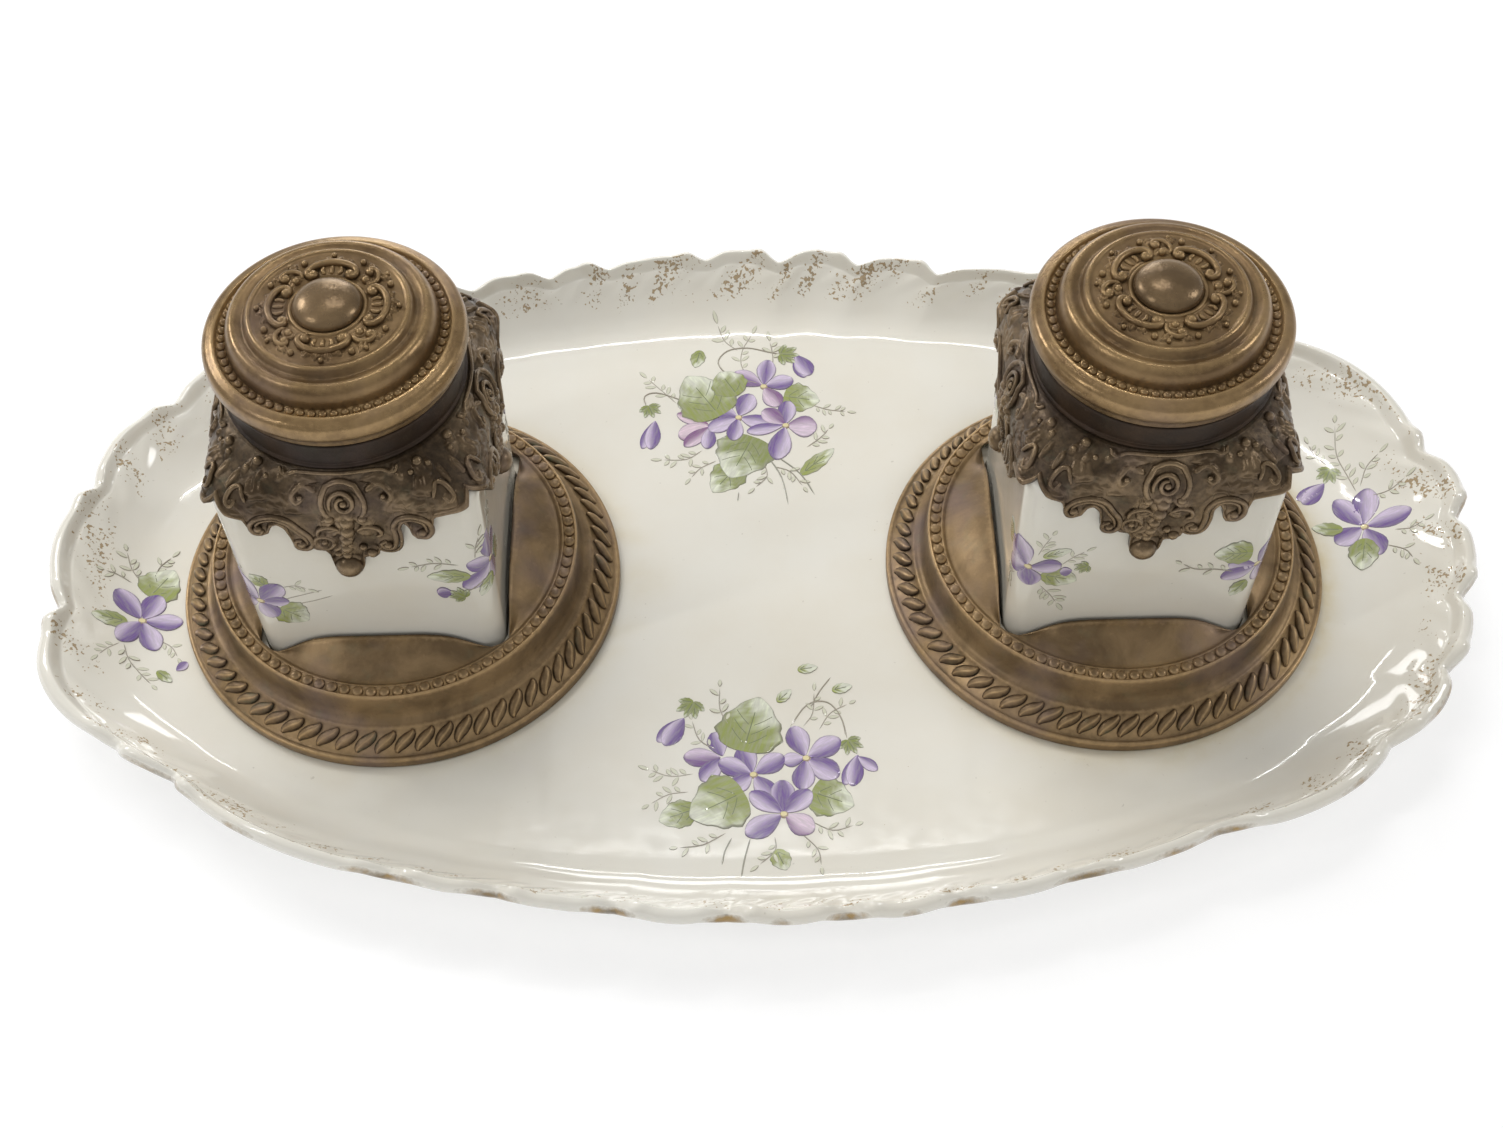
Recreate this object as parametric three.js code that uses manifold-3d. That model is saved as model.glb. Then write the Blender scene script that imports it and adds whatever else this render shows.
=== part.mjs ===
// A desk inkstand: an oval porcelain tray with two square porcelain inkwells standing loose on it.
// Each inkwell has a stamped brass saucer, a pierced brass hood, a neck ring and a hinged round lid.
// Millimetres, +Z up, with the origin under the middle of the tray. The front faces -Y.
import * as THREE from "three";
import { mergeVertices } from "three/addons/utils/BufferGeometryUtils.js";
import Module from "manifold-3d";

const wasm = await Module();
wasm.setup();

// Driving dimensions
const seatGap = 0.3; // between a piece and what it stands on or fits in
const pinGap = 0.1; // round the hinge pin
const overrun = 1; // how far a cutter passes through what it cuts

const saucer = {
  radius: 44,
  height: 15.1, // at the middle of each side of the square opening
  wall: 1,
  openingGap: 0.6, // between the porcelain and the edge of the opening
  openingCorner: 1,
  openingShift: 0.5, // the opening, and the well in it, stand this far outwards of the middle
};
const bed = {
  headroom: 1.37, // of the plaster poured round the foot of the well, under the saucer's dome
  pocketFloor: 4,
};
const well = {
  footHalf: 23.2, // half the side of the square at the foot
  bellyHalf: 23.4, // and where it is widest
  height: 56.4,
  shoulderHeight: 6.1, // how far below the top the sides start to round in
  mouthInset: 1.3, // the mouth is this much narrower than the neck ring, each side
  cornerRadius: 4,
  mouthCorner: 14, // corner radius at the top, where the square has grown round
  wall: 3.6,
  roof: 5.8, // thickness round the mouth
};
const hood = {
  wall: 1.1,
  lift: 0.6, // off the porcelain
  ringHeight: 1.2, // thickness of the flat ring that the neck stands on
  drop: 25, // from the flat ring to the tip of the pendant
  mouthEdge: 0.5, // its round mouth is this much wider than the porcelain's
};
const neck = {
  inset: 0.3, // inside the lid's skirt
  wall: 1.4,
  height: 5.4,
  footLip: 0.3,
  footHeight: 0.6,
};
const pot = {
  flangeClearance: 1.1, // inside the neck ring
  flangeSeat: 1.8, // how far the flange rests on the hood's flat ring
  sideClearance: 0.9, // in the mouth of the porcelain
  wall: 2,
  depth: 45,
  flangeHeight: 1.5,
  edge: 0.6,
};
const lid = {
  radius: 23, // round the outer roll
  skirtInset: 1.4, // from the roll in to the skirt
  height: 11.3,
  wall: 1.1,
  holeRadius: 2,
};
const lining = { thickness: 0.8, recess: 1, crown: 0.4 };
const button = { radius: 5.9, height: 2.8, stemRadius: 1.6, stemLength: 3.2 };
const hinge = {
  knuckleRadius: 1.7,
  pinRadius: 0.8,
  reach: 1.8, // from the lid's outer roll back to the pin's axis
  middleWidth: 4,
  width: 12.4,
  plate: 1.2,
  plateHeight: 2,
  pinStandOut: 0.4,
};
const pair = { pitch: 142, shiftX: -1.9, shiftY: 0.6 }; // the two inkwells on the tray
const tray = {
  rimRise: 12.6, // above its floor
  floor: 4,
  footHeight: 2,
  footWidth: 3.2,
  endMargin: 4.1, // flat floor beyond a saucer, towards the end
  sideMargin: 22, // and towards the front and back
  endBorder: 22.8, // the sloping border beyond the flat floor
  sideBorder: 16.1,
  wall: 3.4,
  footInset: 9,
};

// Shares of the sizes above, all chosen by hand
const floorPowerShare = 2.3; // a little squarer than an ellipse
const rimPowerShare = 2.06;
// Rim scallops: [angle in turns, radius share in the notch, how far the next lobe swells]
const scallopShares = [
  [-0.489, 0.985, 0.036],
  [-0.447, 0.998, 0.006],
  [-0.433, 0.978, 0.022],
  [-0.372, 0.985, 0.008],
  [-0.342, 0.977, 0.01],
  [-0.303, 0.983, 0.015],
  [-0.264, 0.992, 0.012],
  [-0.222, 0.996, 0.012],
  [-0.183, 0.99, 0.009],
  [-0.145, 0.986, 0.01],
  [-0.106, 0.985, 0.032],
  [-0.061, 1.01, 0.018],
  [-0.0375, 1.005, 0.012],
  [-0.0167, 0.992, 0.012],
  [0.0055, 1.0, 0.02],
  [0.025, 1.01, 0.042],
  [0.083, 0.998, 0.03],
  [0.128, 0.985, 0.022],
  [0.1695, 0.955, 0.03],
  [0.203, 0.97, 0.036],
  [0.2375, 0.978, 0.028],
  [0.2695, 0.994, 0.012],
  [0.311, 0.986, 0.012],
  [0.334, 0.978, 0.014],
  [0.361, 0.99, 0.026],
  [0.405, 0.998, 0.034],
  [0.447, 1.003, 0.017],
  [0.4765, 0.991, 0.013],
];
const lobePowerShare = 0.6; // below 1 a lobe is round and a notch sharp
const rimWaveShare = 0.09; // of the rim's rise, up in a lobe and down in a notch
// The tray's border from its floor outwards: [share of the way out, share of the rise]
const borderTopShares = [[0.28, 0.1], [0.55, 0.38], [0.82, 0.78], [0.96, 0.985]];
const borderLipShare = 0.12; // of the rise, from the top of the lip to its outer edge
const borderUnderShares = [[0.9, 0.62], [0.6, 0.16]];
// The saucer from its flange to its opening: [share of radius, share of height]
const saucerTopShares = [
  [1, 0], [1, 0.132], [0.981, 0.168], [0.936, 0.23], [0.9, 0.34], [0.879, 0.4],
  [0.85, 0.455], [0.831, 0.58], [0.819, 0.79], [0.806, 0.835], [0.786, 0.86], [0.757, 0.775],
];
const saucerUnderShares = [[0.745, 0.7], [0.785, 0.73], [0.8, 0.52], [0.86, 0.31], [0.965, 0.07], [0.965, 0]];
const saucerDomePowerShare = 1.7;
const wellShoulderShares = [0.66, 0.4]; // a point of it: share of the way up, share of the way in
// The lower edge of the hood, from the middle of a face to its corner: [share of half a side, share of drop]
const hoodEdgeShares = [
  [0, 1], [0.09, 0.97], [0.15, 0.8], [0.24, 0.73], [0.38, 0.7], [0.46, 0.5],
  [0.53, 0.46], [0.6, 0.53], [0.67, 0.53], [0.73, 0.38], [1, 0.28],
];
const hoodCreaseShare = 0.65; // how far up its rounded shoulder the hood has its crease
// The lid from its skirt to its button: [share of radius, share of height]
const lidTopShares = [
  [0.97, 0.22], [0.995, 0.29], [1, 0.37], [0.985, 0.48], [0.945, 0.57], [0.905, 0.6],
  [0.88, 0.585], [0.81, 0.59], [0.765, 0.7], [0.73, 0.8], [0.7, 0.825], [0.655, 0.815],
  [0.625, 0.9], [0.585, 0.94], [0.3, 0.995],
];
const lidUnderShares = [[0.56, 0.83], [0.72, 0.7], [0.82, 0.48]];
const buttonDomeShares = [[1, 0], [1, 0.3], [0.86, 0.66], [0.55, 0.92]];
// Arms of the hinge: the fixed one in shares of the knuckle's radius, the lid's in shares of the plate
const armTopShare = 0.7;
const armBackShare = 0.6;
const lidArmShares = { foot: 0.33, low: 0.5, top: 1.3 };

// How finely things are cut
const trayFacets = 96;
const roundFacets = 32;
const innerFacets = 24;
const wellFacets = 48;
const hoodFacets = 2 * wellFacets; // so that the hood's corners clear the well's
const cornerCrowding = 0.1; // how far points of a square loop lean to its corners, in radians
const pinFacets = 12;

// Heights in an inkwell, from the underside of its saucer
const bedHeight = saucerUnderShares[0][1] * saucer.height - bed.headroom;
const wellFoot = bed.pocketFloor + seatGap;
const wellTop = wellFoot + well.height;
const wellBelly = wellTop - well.shoulderHeight;
const ringTop = wellTop + seatGap + hood.ringHeight;
const neckFoot = ringTop + seatGap;
const neckTop = neckFoot + neck.height;
const lidFoot = neckTop + seatGap;
const hingeY = lid.radius + hinge.reach;

// Radii in an inkwell, from the lid inwards
const skirtRadius = lid.radius - lid.skirtInset;
const neckRadius = skirtRadius - neck.inset;
const mouthHalf = neckRadius - well.mouthInset;
const flangeRadius = neckRadius - neck.wall - pot.flangeClearance;
const hoodMouth = flangeRadius - pot.flangeSeat;
const wellMouth = hoodMouth - hood.mouthEdge;
const potRadius = wellMouth - pot.sideClearance;

const finish = {
  porcelain: { color: 0xdedacb, roughness: 0.18, metalness: 0 },
  liner: { color: 0xe2ded2, roughness: 0.25, metalness: 0 },
  plaster: { color: 0xcfc8b8, roughness: 0.95, metalness: 0 },
  brownBrass: { color: 0x7c6545, roughness: 0.42, metalness: 0.85 },
  darkBrass: { color: 0x5a4a38, roughness: 0.5, metalness: 0.85 },
  pinBrass: { color: 0x8c7448, roughness: 0.4, metalness: 0.9 },
};

function namedMesh(name, geometry, look) {
  const mesh = new THREE.Mesh(geometry, new THREE.MeshStandardMaterial(look));
  mesh.name = name;
  return mesh;
}

// A skin through closed loops of equally many points. A ring joins its last loop to its first;
// otherwise both ends are closed with flat fans.
function loft(loops, ring = false) {
  const count = loops[0].length;
  const points = loops.flat();
  const index = [];
  const rows = ring ? loops.length : loops.length - 1;
  for (let row = 0; row < rows; row++) {
    const near = row * count;
    const far = ((row + 1) % loops.length) * count;
    for (let i = 0; i < count; i++) {
      const j = (i + 1) % count;
      index.push(near + i, near + j, far + j, near + i, far + j, far + i);
    }
  }
  if (!ring) {
    for (const [row, turned] of [[0, true], [loops.length - 1, false]]) {
      const middle = loops[row].reduce((sum, p) => sum.add(p), new THREE.Vector3()).divideScalar(count);
      points.push(middle);
      const hub = points.length - 1;
      for (let i = 0; i < count; i++) {
        const a = row * count + i;
        const b = row * count + ((i + 1) % count);
        index.push(hub, turned ? b : a, turned ? a : b);
      }
    }
  }
  const geometry = new THREE.BufferGeometry();
  geometry.setAttribute("position", new THREE.Float32BufferAttribute(points.flatMap((p) => p.toArray()), 3));
  geometry.setIndex(index);
  geometry.computeVertexNormals();
  return geometry;
}

// A closed loop round Z: radius and height are functions of the angle in radians
function loop(count, radiusAt, heightAt, crowding = 0) {
  return Array.from({ length: count }, (_, i) => {
    const even = (2 * Math.PI * i) / count;
    const angle = even + crowding * Math.sin(4 * even);
    const radius = radiusAt(angle);
    return new THREE.Vector3(radius * Math.cos(angle), radius * Math.sin(angle), heightAt(angle));
  });
}
const circleLoop = (count, radius, height) => loop(count, () => radius, () => height);

// Radius of a rounded square at an angle
function squareRadius(half, corner, angle) {
  const c = Math.abs(Math.cos(angle));
  const s = Math.abs(Math.sin(angle));
  const inset = half - corner;
  const reach = Math.max(c, s);
  if ((half * Math.min(c, s)) / reach <= inset) return half / reach;
  const along = inset * (c + s);
  return along + Math.sqrt(along * along - 2 * inset * inset + corner * corner);
}
const squareLoop = (count, half, corner, height) =>
  loop(count, (angle) => squareRadius(half, corner, angle), () => height, cornerCrowding);

const shifted = (points, x) => points.map((point) => point.clone().setX(point.x + x));

// Radius of a squared oval at an angle
function ovalRadius(halfLength, halfWidth, power, angle) {
  const x = Math.abs(Math.cos(angle)) / halfLength;
  const y = Math.abs(Math.sin(angle)) / halfWidth;
  return (x ** power + y ** power) ** (-1 / power);
}

// Value of a table of [place, value] at a place
function along(table, place) {
  const next = table.findIndex(([at]) => at >= place);
  if (next <= 0) return table[next === 0 ? 0 : table.length - 1][1];
  const [fromPlace, fromValue] = table[next - 1];
  const [toPlace, toValue] = table[next];
  return THREE.MathUtils.mapLinear(place, fromPlace, toPlace, fromValue, toValue);
}

function lathe(profile, facets) {
  return new THREE.LatheGeometry(profile.map(([r, z]) => new THREE.Vector2(r, z)), facets).rotateX(Math.PI / 2);
}

// Booleans, on position-only meshes with shared vertices
function toSolid(geometry) {
  const bare = geometry.clone();
  bare.deleteAttribute("normal");
  bare.deleteAttribute("uv");
  const merged = mergeVertices(bare);
  return new wasm.Manifold(
    new wasm.Mesh({
      numProp: 3,
      vertProperties: new Float32Array(merged.attributes.position.array),
      triVerts: new Uint32Array(merged.index.array),
    }),
  );
}
function toGeometry(solid) {
  const { vertProperties, triVerts } = solid.getMesh();
  const geometry = new THREE.BufferGeometry();
  geometry.setAttribute("position", new THREE.BufferAttribute(vertProperties, 3));
  geometry.setIndex(new THREE.BufferAttribute(triVerts, 1));
  geometry.computeVertexNormals();
  return geometry;
}

// The tray
function rimShare(angle) {
  let turn = angle / (2 * Math.PI);
  if (turn > 0.5) turn -= 1;
  const count = scallopShares.length;
  let from = count - 1;
  while (from > 0 && scallopShares[from][0] > turn) from--;
  if (turn < scallopShares[0][0]) from = count - 1;
  const [start, low, swell] = scallopShares[from];
  const [nextStart, nextLow] = scallopShares[(from + 1) % count];
  const span = (nextStart - start + 1) % 1;
  const part = ((turn - start + 1) % 1) / span;
  const lobe = Math.sin(Math.PI * part) ** lobePowerShare;
  return { radius: THREE.MathUtils.lerp(low, nextLow, part) + swell * lobe, lobe };
}

function trayGeometry() {
  const floorLength = pair.pitch / 2 + saucer.radius + tray.endMargin;
  const floorWidth = saucer.radius + tray.sideMargin;
  const floorTop = tray.footHeight + tray.floor;
  const floorAt = (angle) => ovalRadius(floorLength, floorWidth, floorPowerShare, angle);
  const rimAt = (angle) =>
    ovalRadius(floorLength + tray.endBorder, floorWidth + tray.sideBorder, rimPowerShare, angle) *
    rimShare(angle).radius;
  const outAt = (share) => (angle) => THREE.MathUtils.lerp(floorAt(angle), rimAt(angle), share);
  const upAt = (share, drop) => (angle) =>
    floorTop + tray.rimRise * share * (1 + rimWaveShare * share * (rimShare(angle).lobe - 1)) - drop;
  const insetFrom = (inset) => (angle) => floorAt(angle) - inset;
  const loops = [
    loop(trayFacets, insetFrom(tray.footInset + tray.footWidth), () => tray.footHeight),
    loop(trayFacets, insetFrom(tray.footInset + tray.footWidth), () => 0),
    loop(trayFacets, insetFrom(tray.footInset), () => 0),
    loop(trayFacets, insetFrom(tray.footInset), () => tray.footHeight),
    loop(trayFacets, floorAt, () => tray.footHeight),
    ...borderUnderShares.toReversed().map(([out, up]) => loop(trayFacets, outAt(out), upAt(up, tray.wall / 2))),
    loop(trayFacets, outAt(1), upAt(1 - borderLipShare, tray.wall / 2)),
    loop(trayFacets, outAt(1), upAt(1 - borderLipShare, 0)),
    ...borderTopShares.toReversed().map(([out, up]) => loop(trayFacets, outAt(out), upAt(up, 0))),
    loop(trayFacets, floorAt, () => floorTop),
  ];
  const geometry = loft(loops);
  geometry.computeBoundingBox();
  const { min, max } = geometry.boundingBox;
  return geometry.translate(-(min.x + max.x) / 2, -(min.y + max.y) / 2, 0);
}

// The sides of the porcelain rise to the belly and round in to the mouth, from square to nearly round
const [shoulderUpShare, shoulderInShare] = wellShoulderShares;
const wellShoulder = THREE.MathUtils.lerp(wellBelly, wellTop, shoulderUpShare);
const wellHalf = (height) =>
  along(
    [
      [wellFoot, well.footHalf],
      [wellBelly, well.bellyHalf],
      [wellShoulder, THREE.MathUtils.lerp(well.bellyHalf, mouthHalf, shoulderInShare)],
      [wellTop, mouthHalf],
    ],
    height,
  );
const wellCorner = (height) =>
  along(
    [
      [wellBelly, well.cornerRadius],
      [wellShoulder, THREE.MathUtils.lerp(well.cornerRadius, well.mouthCorner, shoulderInShare)],
      [wellTop, well.mouthCorner],
    ],
    height,
  );

// shift moves the opening along X
function saucerGeometry(shift) {
  const turned = ([r, z]) => circleLoop(wellFacets, r * saucer.radius, z * saucer.height);
  const openingHalf = wellHalf(saucer.height) + saucer.openingGap;
  const [domeShare, domeFootShare] = saucerTopShares.at(-1);
  const domeRadius = domeShare * saucer.radius;
  const domeFoot = domeFootShare * saucer.height;
  const domeHeight = (radius) => {
    const climb = Math.max(0, (domeRadius - radius) / (domeRadius - openingHalf));
    return THREE.MathUtils.lerp(domeFoot, saucer.height, climb ** saucerDomePowerShare);
  };
  // From the round foot of the dome to the square opening, lower at the corners
  const domeLoop = (share, drop) => {
    const round = circleLoop(wellFacets, domeRadius, 0);
    const square = shifted(squareLoop(wellFacets, openingHalf, saucer.openingCorner, 0), shift);
    return round.map((point, i) => {
      const place = point.clone().lerp(square[i], share);
      return place.setZ(domeHeight(Math.hypot(place.x - share * shift, place.y)) - drop);
    });
  };
  return loft(
    [
      ...saucerTopShares.map(turned),
      domeLoop(0.5, 0),
      domeLoop(1, 0),
      domeLoop(1, saucer.wall),
      domeLoop(0.5, saucer.wall),
      ...saucerUnderShares.map(turned),
    ],
    true,
  );
}

function bedGeometry(shift) {
  const under = saucerUnderShares.map(([r, z]) => [r * saucer.radius - seatGap, z * saucer.height - seatGap]);
  const [coveRadius, coveHeight] = under[2];
  const [footRadius, edgeHeight] = under[3];
  const topRadius = along(under.slice(1, 4).toReversed().map(([r, z]) => [z, r]), bedHeight);
  const pocketHalf = wellHalf(bedHeight) + seatGap;
  return loft([
    circleLoop(wellFacets, footRadius, seatGap),
    circleLoop(wellFacets, footRadius, edgeHeight),
    circleLoop(wellFacets, coveRadius, coveHeight),
    circleLoop(wellFacets, topRadius, bedHeight),
    shifted(squareLoop(wellFacets, pocketHalf, well.cornerRadius, bedHeight), shift),
    shifted(squareLoop(wellFacets, pocketHalf, well.cornerRadius, bed.pocketFloor), shift),
  ]);
}

function wellGeometry() {
  const shellAt = (height) => squareLoop(wellFacets, wellHalf(height), wellCorner(height), height);
  const hollowTop = wellTop - well.roof;
  const hollowFoot = wellFoot + well.wall;
  const hollowCorner = well.cornerRadius - well.wall / 2;
  const hollowAt = (height, inset) => squareLoop(wellFacets, wellHalf(height) - inset, hollowCorner, height);
  return loft([
    ...[wellFoot, wellBelly, wellShoulder, wellTop].map(shellAt),
    circleLoop(wellFacets, wellMouth, wellTop),
    circleLoop(wellFacets, wellMouth, hollowTop),
    hollowAt(wellBelly - well.wall, well.wall),
    hollowAt(hollowFoot, well.wall),
  ]);
}

function hoodGeometry() {
  const edgeHeight = (angle) => {
    const c = Math.abs(Math.cos(angle));
    const s = Math.abs(Math.sin(angle));
    return ringTop - hood.drop * along(hoodEdgeShares, Math.min(c, s) / Math.max(c, s));
  };
  const creaseHeight = THREE.MathUtils.lerp(wellBelly, ringTop, hoodCreaseShare);
  const sideLoop = (offset, heightAt) => {
    const radiusAt = (angle) => {
      const height = heightAt(angle);
      return squareRadius(wellHalf(height) + offset, wellCorner(height) + offset, angle);
    };
    return loop(hoodFacets, radiusAt, heightAt, cornerCrowding);
  };
  const inside = hood.lift;
  const outside = hood.lift + hood.wall;
  return loft(
    [
      sideLoop(outside, edgeHeight),
      sideLoop(outside, () => wellBelly),
      sideLoop(outside, () => creaseHeight),
      circleLoop(hoodFacets, neckRadius + 2 * neck.footLip, ringTop),
      circleLoop(hoodFacets, hoodMouth, ringTop),
      circleLoop(hoodFacets, hoodMouth, wellTop + seatGap),
      squareLoop(hoodFacets, mouthHalf + inside, well.mouthCorner + inside, wellTop + seatGap),
      sideLoop(inside, () => wellShoulder),
      sideLoop(inside, () => wellBelly),
      sideLoop(inside, edgeHeight),
    ],
    true,
  );
}

function neckGeometry() {
  const inner = neckRadius - neck.wall;
  const lip = neckRadius + neck.footLip;
  return lathe(
    [
      [inner, neckFoot],
      [lip, neckFoot],
      [lip, neckFoot + neck.footHeight],
      [neckRadius, neckFoot + neck.footHeight + neck.footLip],
      [neckRadius, neckTop],
      [inner, neckTop],
      [inner, neckFoot],
    ],
    roundFacets,
  );
}

// The ink pot hangs by its flange inside the well
function potGeometry() {
  const flangeFoot = ringTop + seatGap;
  const flangeTop = flangeFoot + pot.flangeHeight;
  const foot = flangeTop - pot.depth;
  const inner = potRadius - pot.wall;
  return lathe(
    [
      [0, foot],
      [potRadius - pot.edge, foot],
      [potRadius, foot + pot.edge],
      [potRadius, flangeFoot],
      [flangeRadius, flangeFoot],
      [flangeRadius, flangeTop - pot.edge],
      [flangeRadius - pot.edge, flangeTop],
      [inner + pot.edge, flangeTop],
      [inner, flangeTop - pot.edge],
      [inner, foot + pot.wall + pot.edge],
      [inner - pot.edge, foot + pot.wall],
      [0, foot + pot.wall],
    ],
    innerFacets,
  );
}

// The lid, its lining and its button, with heights from the lid's lower edge
function lidGeometry() {
  const skirtInner = skirtRadius - lid.wall;
  const sized = ([r, z]) => [r * lid.radius, z * lid.height];
  return lathe(
    [
      [skirtInner, 0],
      [skirtRadius, 0],
      [skirtRadius, lidTopShares[0][1] * lid.height - lid.wall / 3],
      ...lidTopShares.map(sized),
      [lid.holeRadius, lid.height],
      [lid.holeRadius, lid.height - lid.wall],
      ...lidUnderShares.map(sized),
      [skirtInner, lidUnderShares.at(-1)[1] * lid.height - lid.wall],
      [skirtInner, 0],
    ],
    roundFacets,
  );
}

function liningGeometry() {
  const radius = skirtRadius - lid.wall - seatGap;
  return lathe(
    [
      [0, lining.recess + lining.crown],
      [radius, lining.recess],
      [radius, lining.recess + lining.thickness],
      [0, lining.recess + lining.thickness + lining.crown],
    ],
    innerFacets,
  );
}

function buttonGeometry() {
  const foot = lid.height + seatGap;
  return lathe(
    [
      [0, foot - button.stemLength],
      [button.stemRadius, foot - button.stemLength],
      [button.stemRadius, foot],
      ...buttonDomeShares.map(([r, z]) => [r * button.radius, foot + z * button.height]),
      [0, foot + button.height],
    ],
    innerFacets,
  );
}

// A slab with the given outline in Y and Z, from one X to another
function slab(outline, fromX, toX) {
  const shape = new THREE.Shape(outline.map(([y, z]) => new THREE.Vector2(y, z)));
  const geometry = new THREE.ExtrudeGeometry(shape, { depth: toX - fromX, bevelEnabled: false });
  const place = new THREE.Matrix4().makeBasis(
    new THREE.Vector3(0, 1, 0),
    new THREE.Vector3(0, 0, 1),
    new THREE.Vector3(1, 0, 0),
  );
  return geometry.applyMatrix4(place).translate(fromX, 0, 0);
}
function rod(radius, fromX, toX) {
  return new THREE.CylinderGeometry(radius, radius, toX - fromX, pinFacets)
    .rotateZ(Math.PI / 2)
    .translate((fromX + toX) / 2, 0, 0);
}
const pinHole = () =>
  toSolid(rod(hinge.pinRadius + pinGap, -hinge.width / 2 - overrun, hinge.width / 2 + overrun));

// The hinge, with places from the axis of its pin: Y backwards, Z up
function fixedLeafGeometry() {
  const neckSide = neckRadius + seatGap - hingeY;
  const plateSide = neckSide + hinge.plate;
  const plateTop = -hinge.knuckleRadius - seatGap;
  const plateFoot = plateTop - hinge.plateHeight;
  const armTop = -hinge.knuckleRadius * armTopShare;
  const armBack = hinge.knuckleRadius * armBackShare;
  const endX = hinge.width / 2;
  const innerX = hinge.middleWidth / 2 + seatGap;
  const arm = [
    [neckSide, plateFoot],
    [plateSide, plateFoot],
    [armBack, -armBack],
    [0, 0],
    [-armBack, 0],
    [neckSide, armTop],
  ];
  const plate = [
    [neckSide, plateFoot],
    [plateSide, plateFoot],
    [plateSide, plateTop],
    [neckSide, plateTop],
  ];
  let solid = toSolid(slab(plate, -endX, endX));
  for (const [from, to] of [[-endX, -innerX], [innerX, endX]]) {
    solid = solid.add(toSolid(slab(arm, from, to))).add(toSolid(rod(hinge.knuckleRadius, from, to)));
  }
  return toGeometry(solid.subtract(pinHole()));
}

function lidLeafGeometry() {
  const skirtSide = skirtRadius + seatGap - hingeY;
  const halfWidth = hinge.middleWidth / 2;
  const arm = [
    [skirtSide, hinge.plate * lidArmShares.foot],
    [0, -hinge.plate * lidArmShares.low],
    [0, hinge.knuckleRadius],
    [skirtSide, hinge.plate * lidArmShares.top],
  ];
  const solid = toSolid(slab(arm, -halfWidth, halfWidth)).add(toSolid(rod(hinge.knuckleRadius, -halfWidth, halfWidth)));
  return toGeometry(solid.subtract(pinHole()));
}

function pinGeometry() {
  const end = hinge.width / 2 + hinge.pinStandOut;
  return rod(hinge.pinRadius, -end, end);
}

// One inkwell, standing on the tray. way is -1 on the left and 1 on the right
function inkwell(side, way) {
  const shift = way * saucer.openingShift;
  const group = new THREE.Group();
  group.add(namedMesh(side + "_saucer", saucerGeometry(shift), finish.brownBrass));
  group.add(namedMesh(side + "_plaster_bed", bedGeometry(shift), finish.plaster));

  const stack = new THREE.Group();
  stack.position.x = shift;
  stack.add(namedMesh(side + "_well", wellGeometry(), finish.porcelain));
  stack.add(namedMesh(side + "_hood", hoodGeometry(), finish.darkBrass));
  stack.add(namedMesh(side + "_neck_ring", neckGeometry(), finish.darkBrass));
  stack.add(namedMesh(side + "_ink_pot", potGeometry(), finish.liner));
  group.add(stack);

  const hingeGroup = new THREE.Group();
  hingeGroup.position.set(0, hingeY, lidFoot);
  hingeGroup.add(namedMesh(side + "_fixed_hinge_leaf", fixedLeafGeometry(), finish.darkBrass));
  hingeGroup.add(namedMesh(side + "_hinge_pin", pinGeometry(), finish.pinBrass));

  const lidGroup = new THREE.Group();
  lidGroup.add(namedMesh(side + "_lid_hinge_leaf", lidLeafGeometry(), finish.darkBrass));
  for (const [name, geometry, look] of [
    ["_lid", lidGeometry(), finish.brownBrass],
    ["_lid_lining", liningGeometry(), finish.brownBrass],
    ["_lid_button", buttonGeometry(), finish.brownBrass],
  ]) {
    const mesh = namedMesh(side + name, geometry, look);
    mesh.position.y = -hingeY;
    lidGroup.add(mesh);
  }
  hingeGroup.add(lidGroup);
  stack.add(hingeGroup);
  return group;
}

const inkstand = new THREE.Group();
inkstand.add(namedMesh("tray", trayGeometry(), finish.porcelain));
for (const [side, way] of [["left", -1], ["right", 1]]) {
  const standing = inkwell(side, way);
  standing.position.set(
    pair.shiftX + (way * pair.pitch) / 2,
    pair.shiftY,
    tray.footHeight + tray.floor + seatGap,
  );
  inkstand.add(standing);
}

export default inkstand;
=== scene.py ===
import math

import bpy
import numpy as np
from mathutils import Matrix, Vector


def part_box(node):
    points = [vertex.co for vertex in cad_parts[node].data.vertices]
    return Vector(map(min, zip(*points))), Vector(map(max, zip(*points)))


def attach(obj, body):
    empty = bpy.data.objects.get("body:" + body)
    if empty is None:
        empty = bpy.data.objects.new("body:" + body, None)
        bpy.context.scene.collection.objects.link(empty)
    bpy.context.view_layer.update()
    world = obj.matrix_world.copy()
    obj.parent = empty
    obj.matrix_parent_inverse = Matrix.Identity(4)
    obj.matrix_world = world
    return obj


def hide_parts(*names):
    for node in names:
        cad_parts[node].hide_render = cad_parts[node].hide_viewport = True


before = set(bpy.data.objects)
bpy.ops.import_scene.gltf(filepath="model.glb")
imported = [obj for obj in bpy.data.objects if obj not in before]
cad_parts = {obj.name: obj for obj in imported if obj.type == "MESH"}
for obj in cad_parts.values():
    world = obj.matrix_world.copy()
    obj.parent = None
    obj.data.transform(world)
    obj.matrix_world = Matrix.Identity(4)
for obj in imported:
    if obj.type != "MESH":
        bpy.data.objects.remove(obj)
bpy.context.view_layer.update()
mm = 0.001
sides = {"left": -1, "right": 1}


# Places that the frame gives, in mm

def nodeBox(node):
    low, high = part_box(node)
    return np.array(low) / mm, np.array(high) / mm


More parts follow.
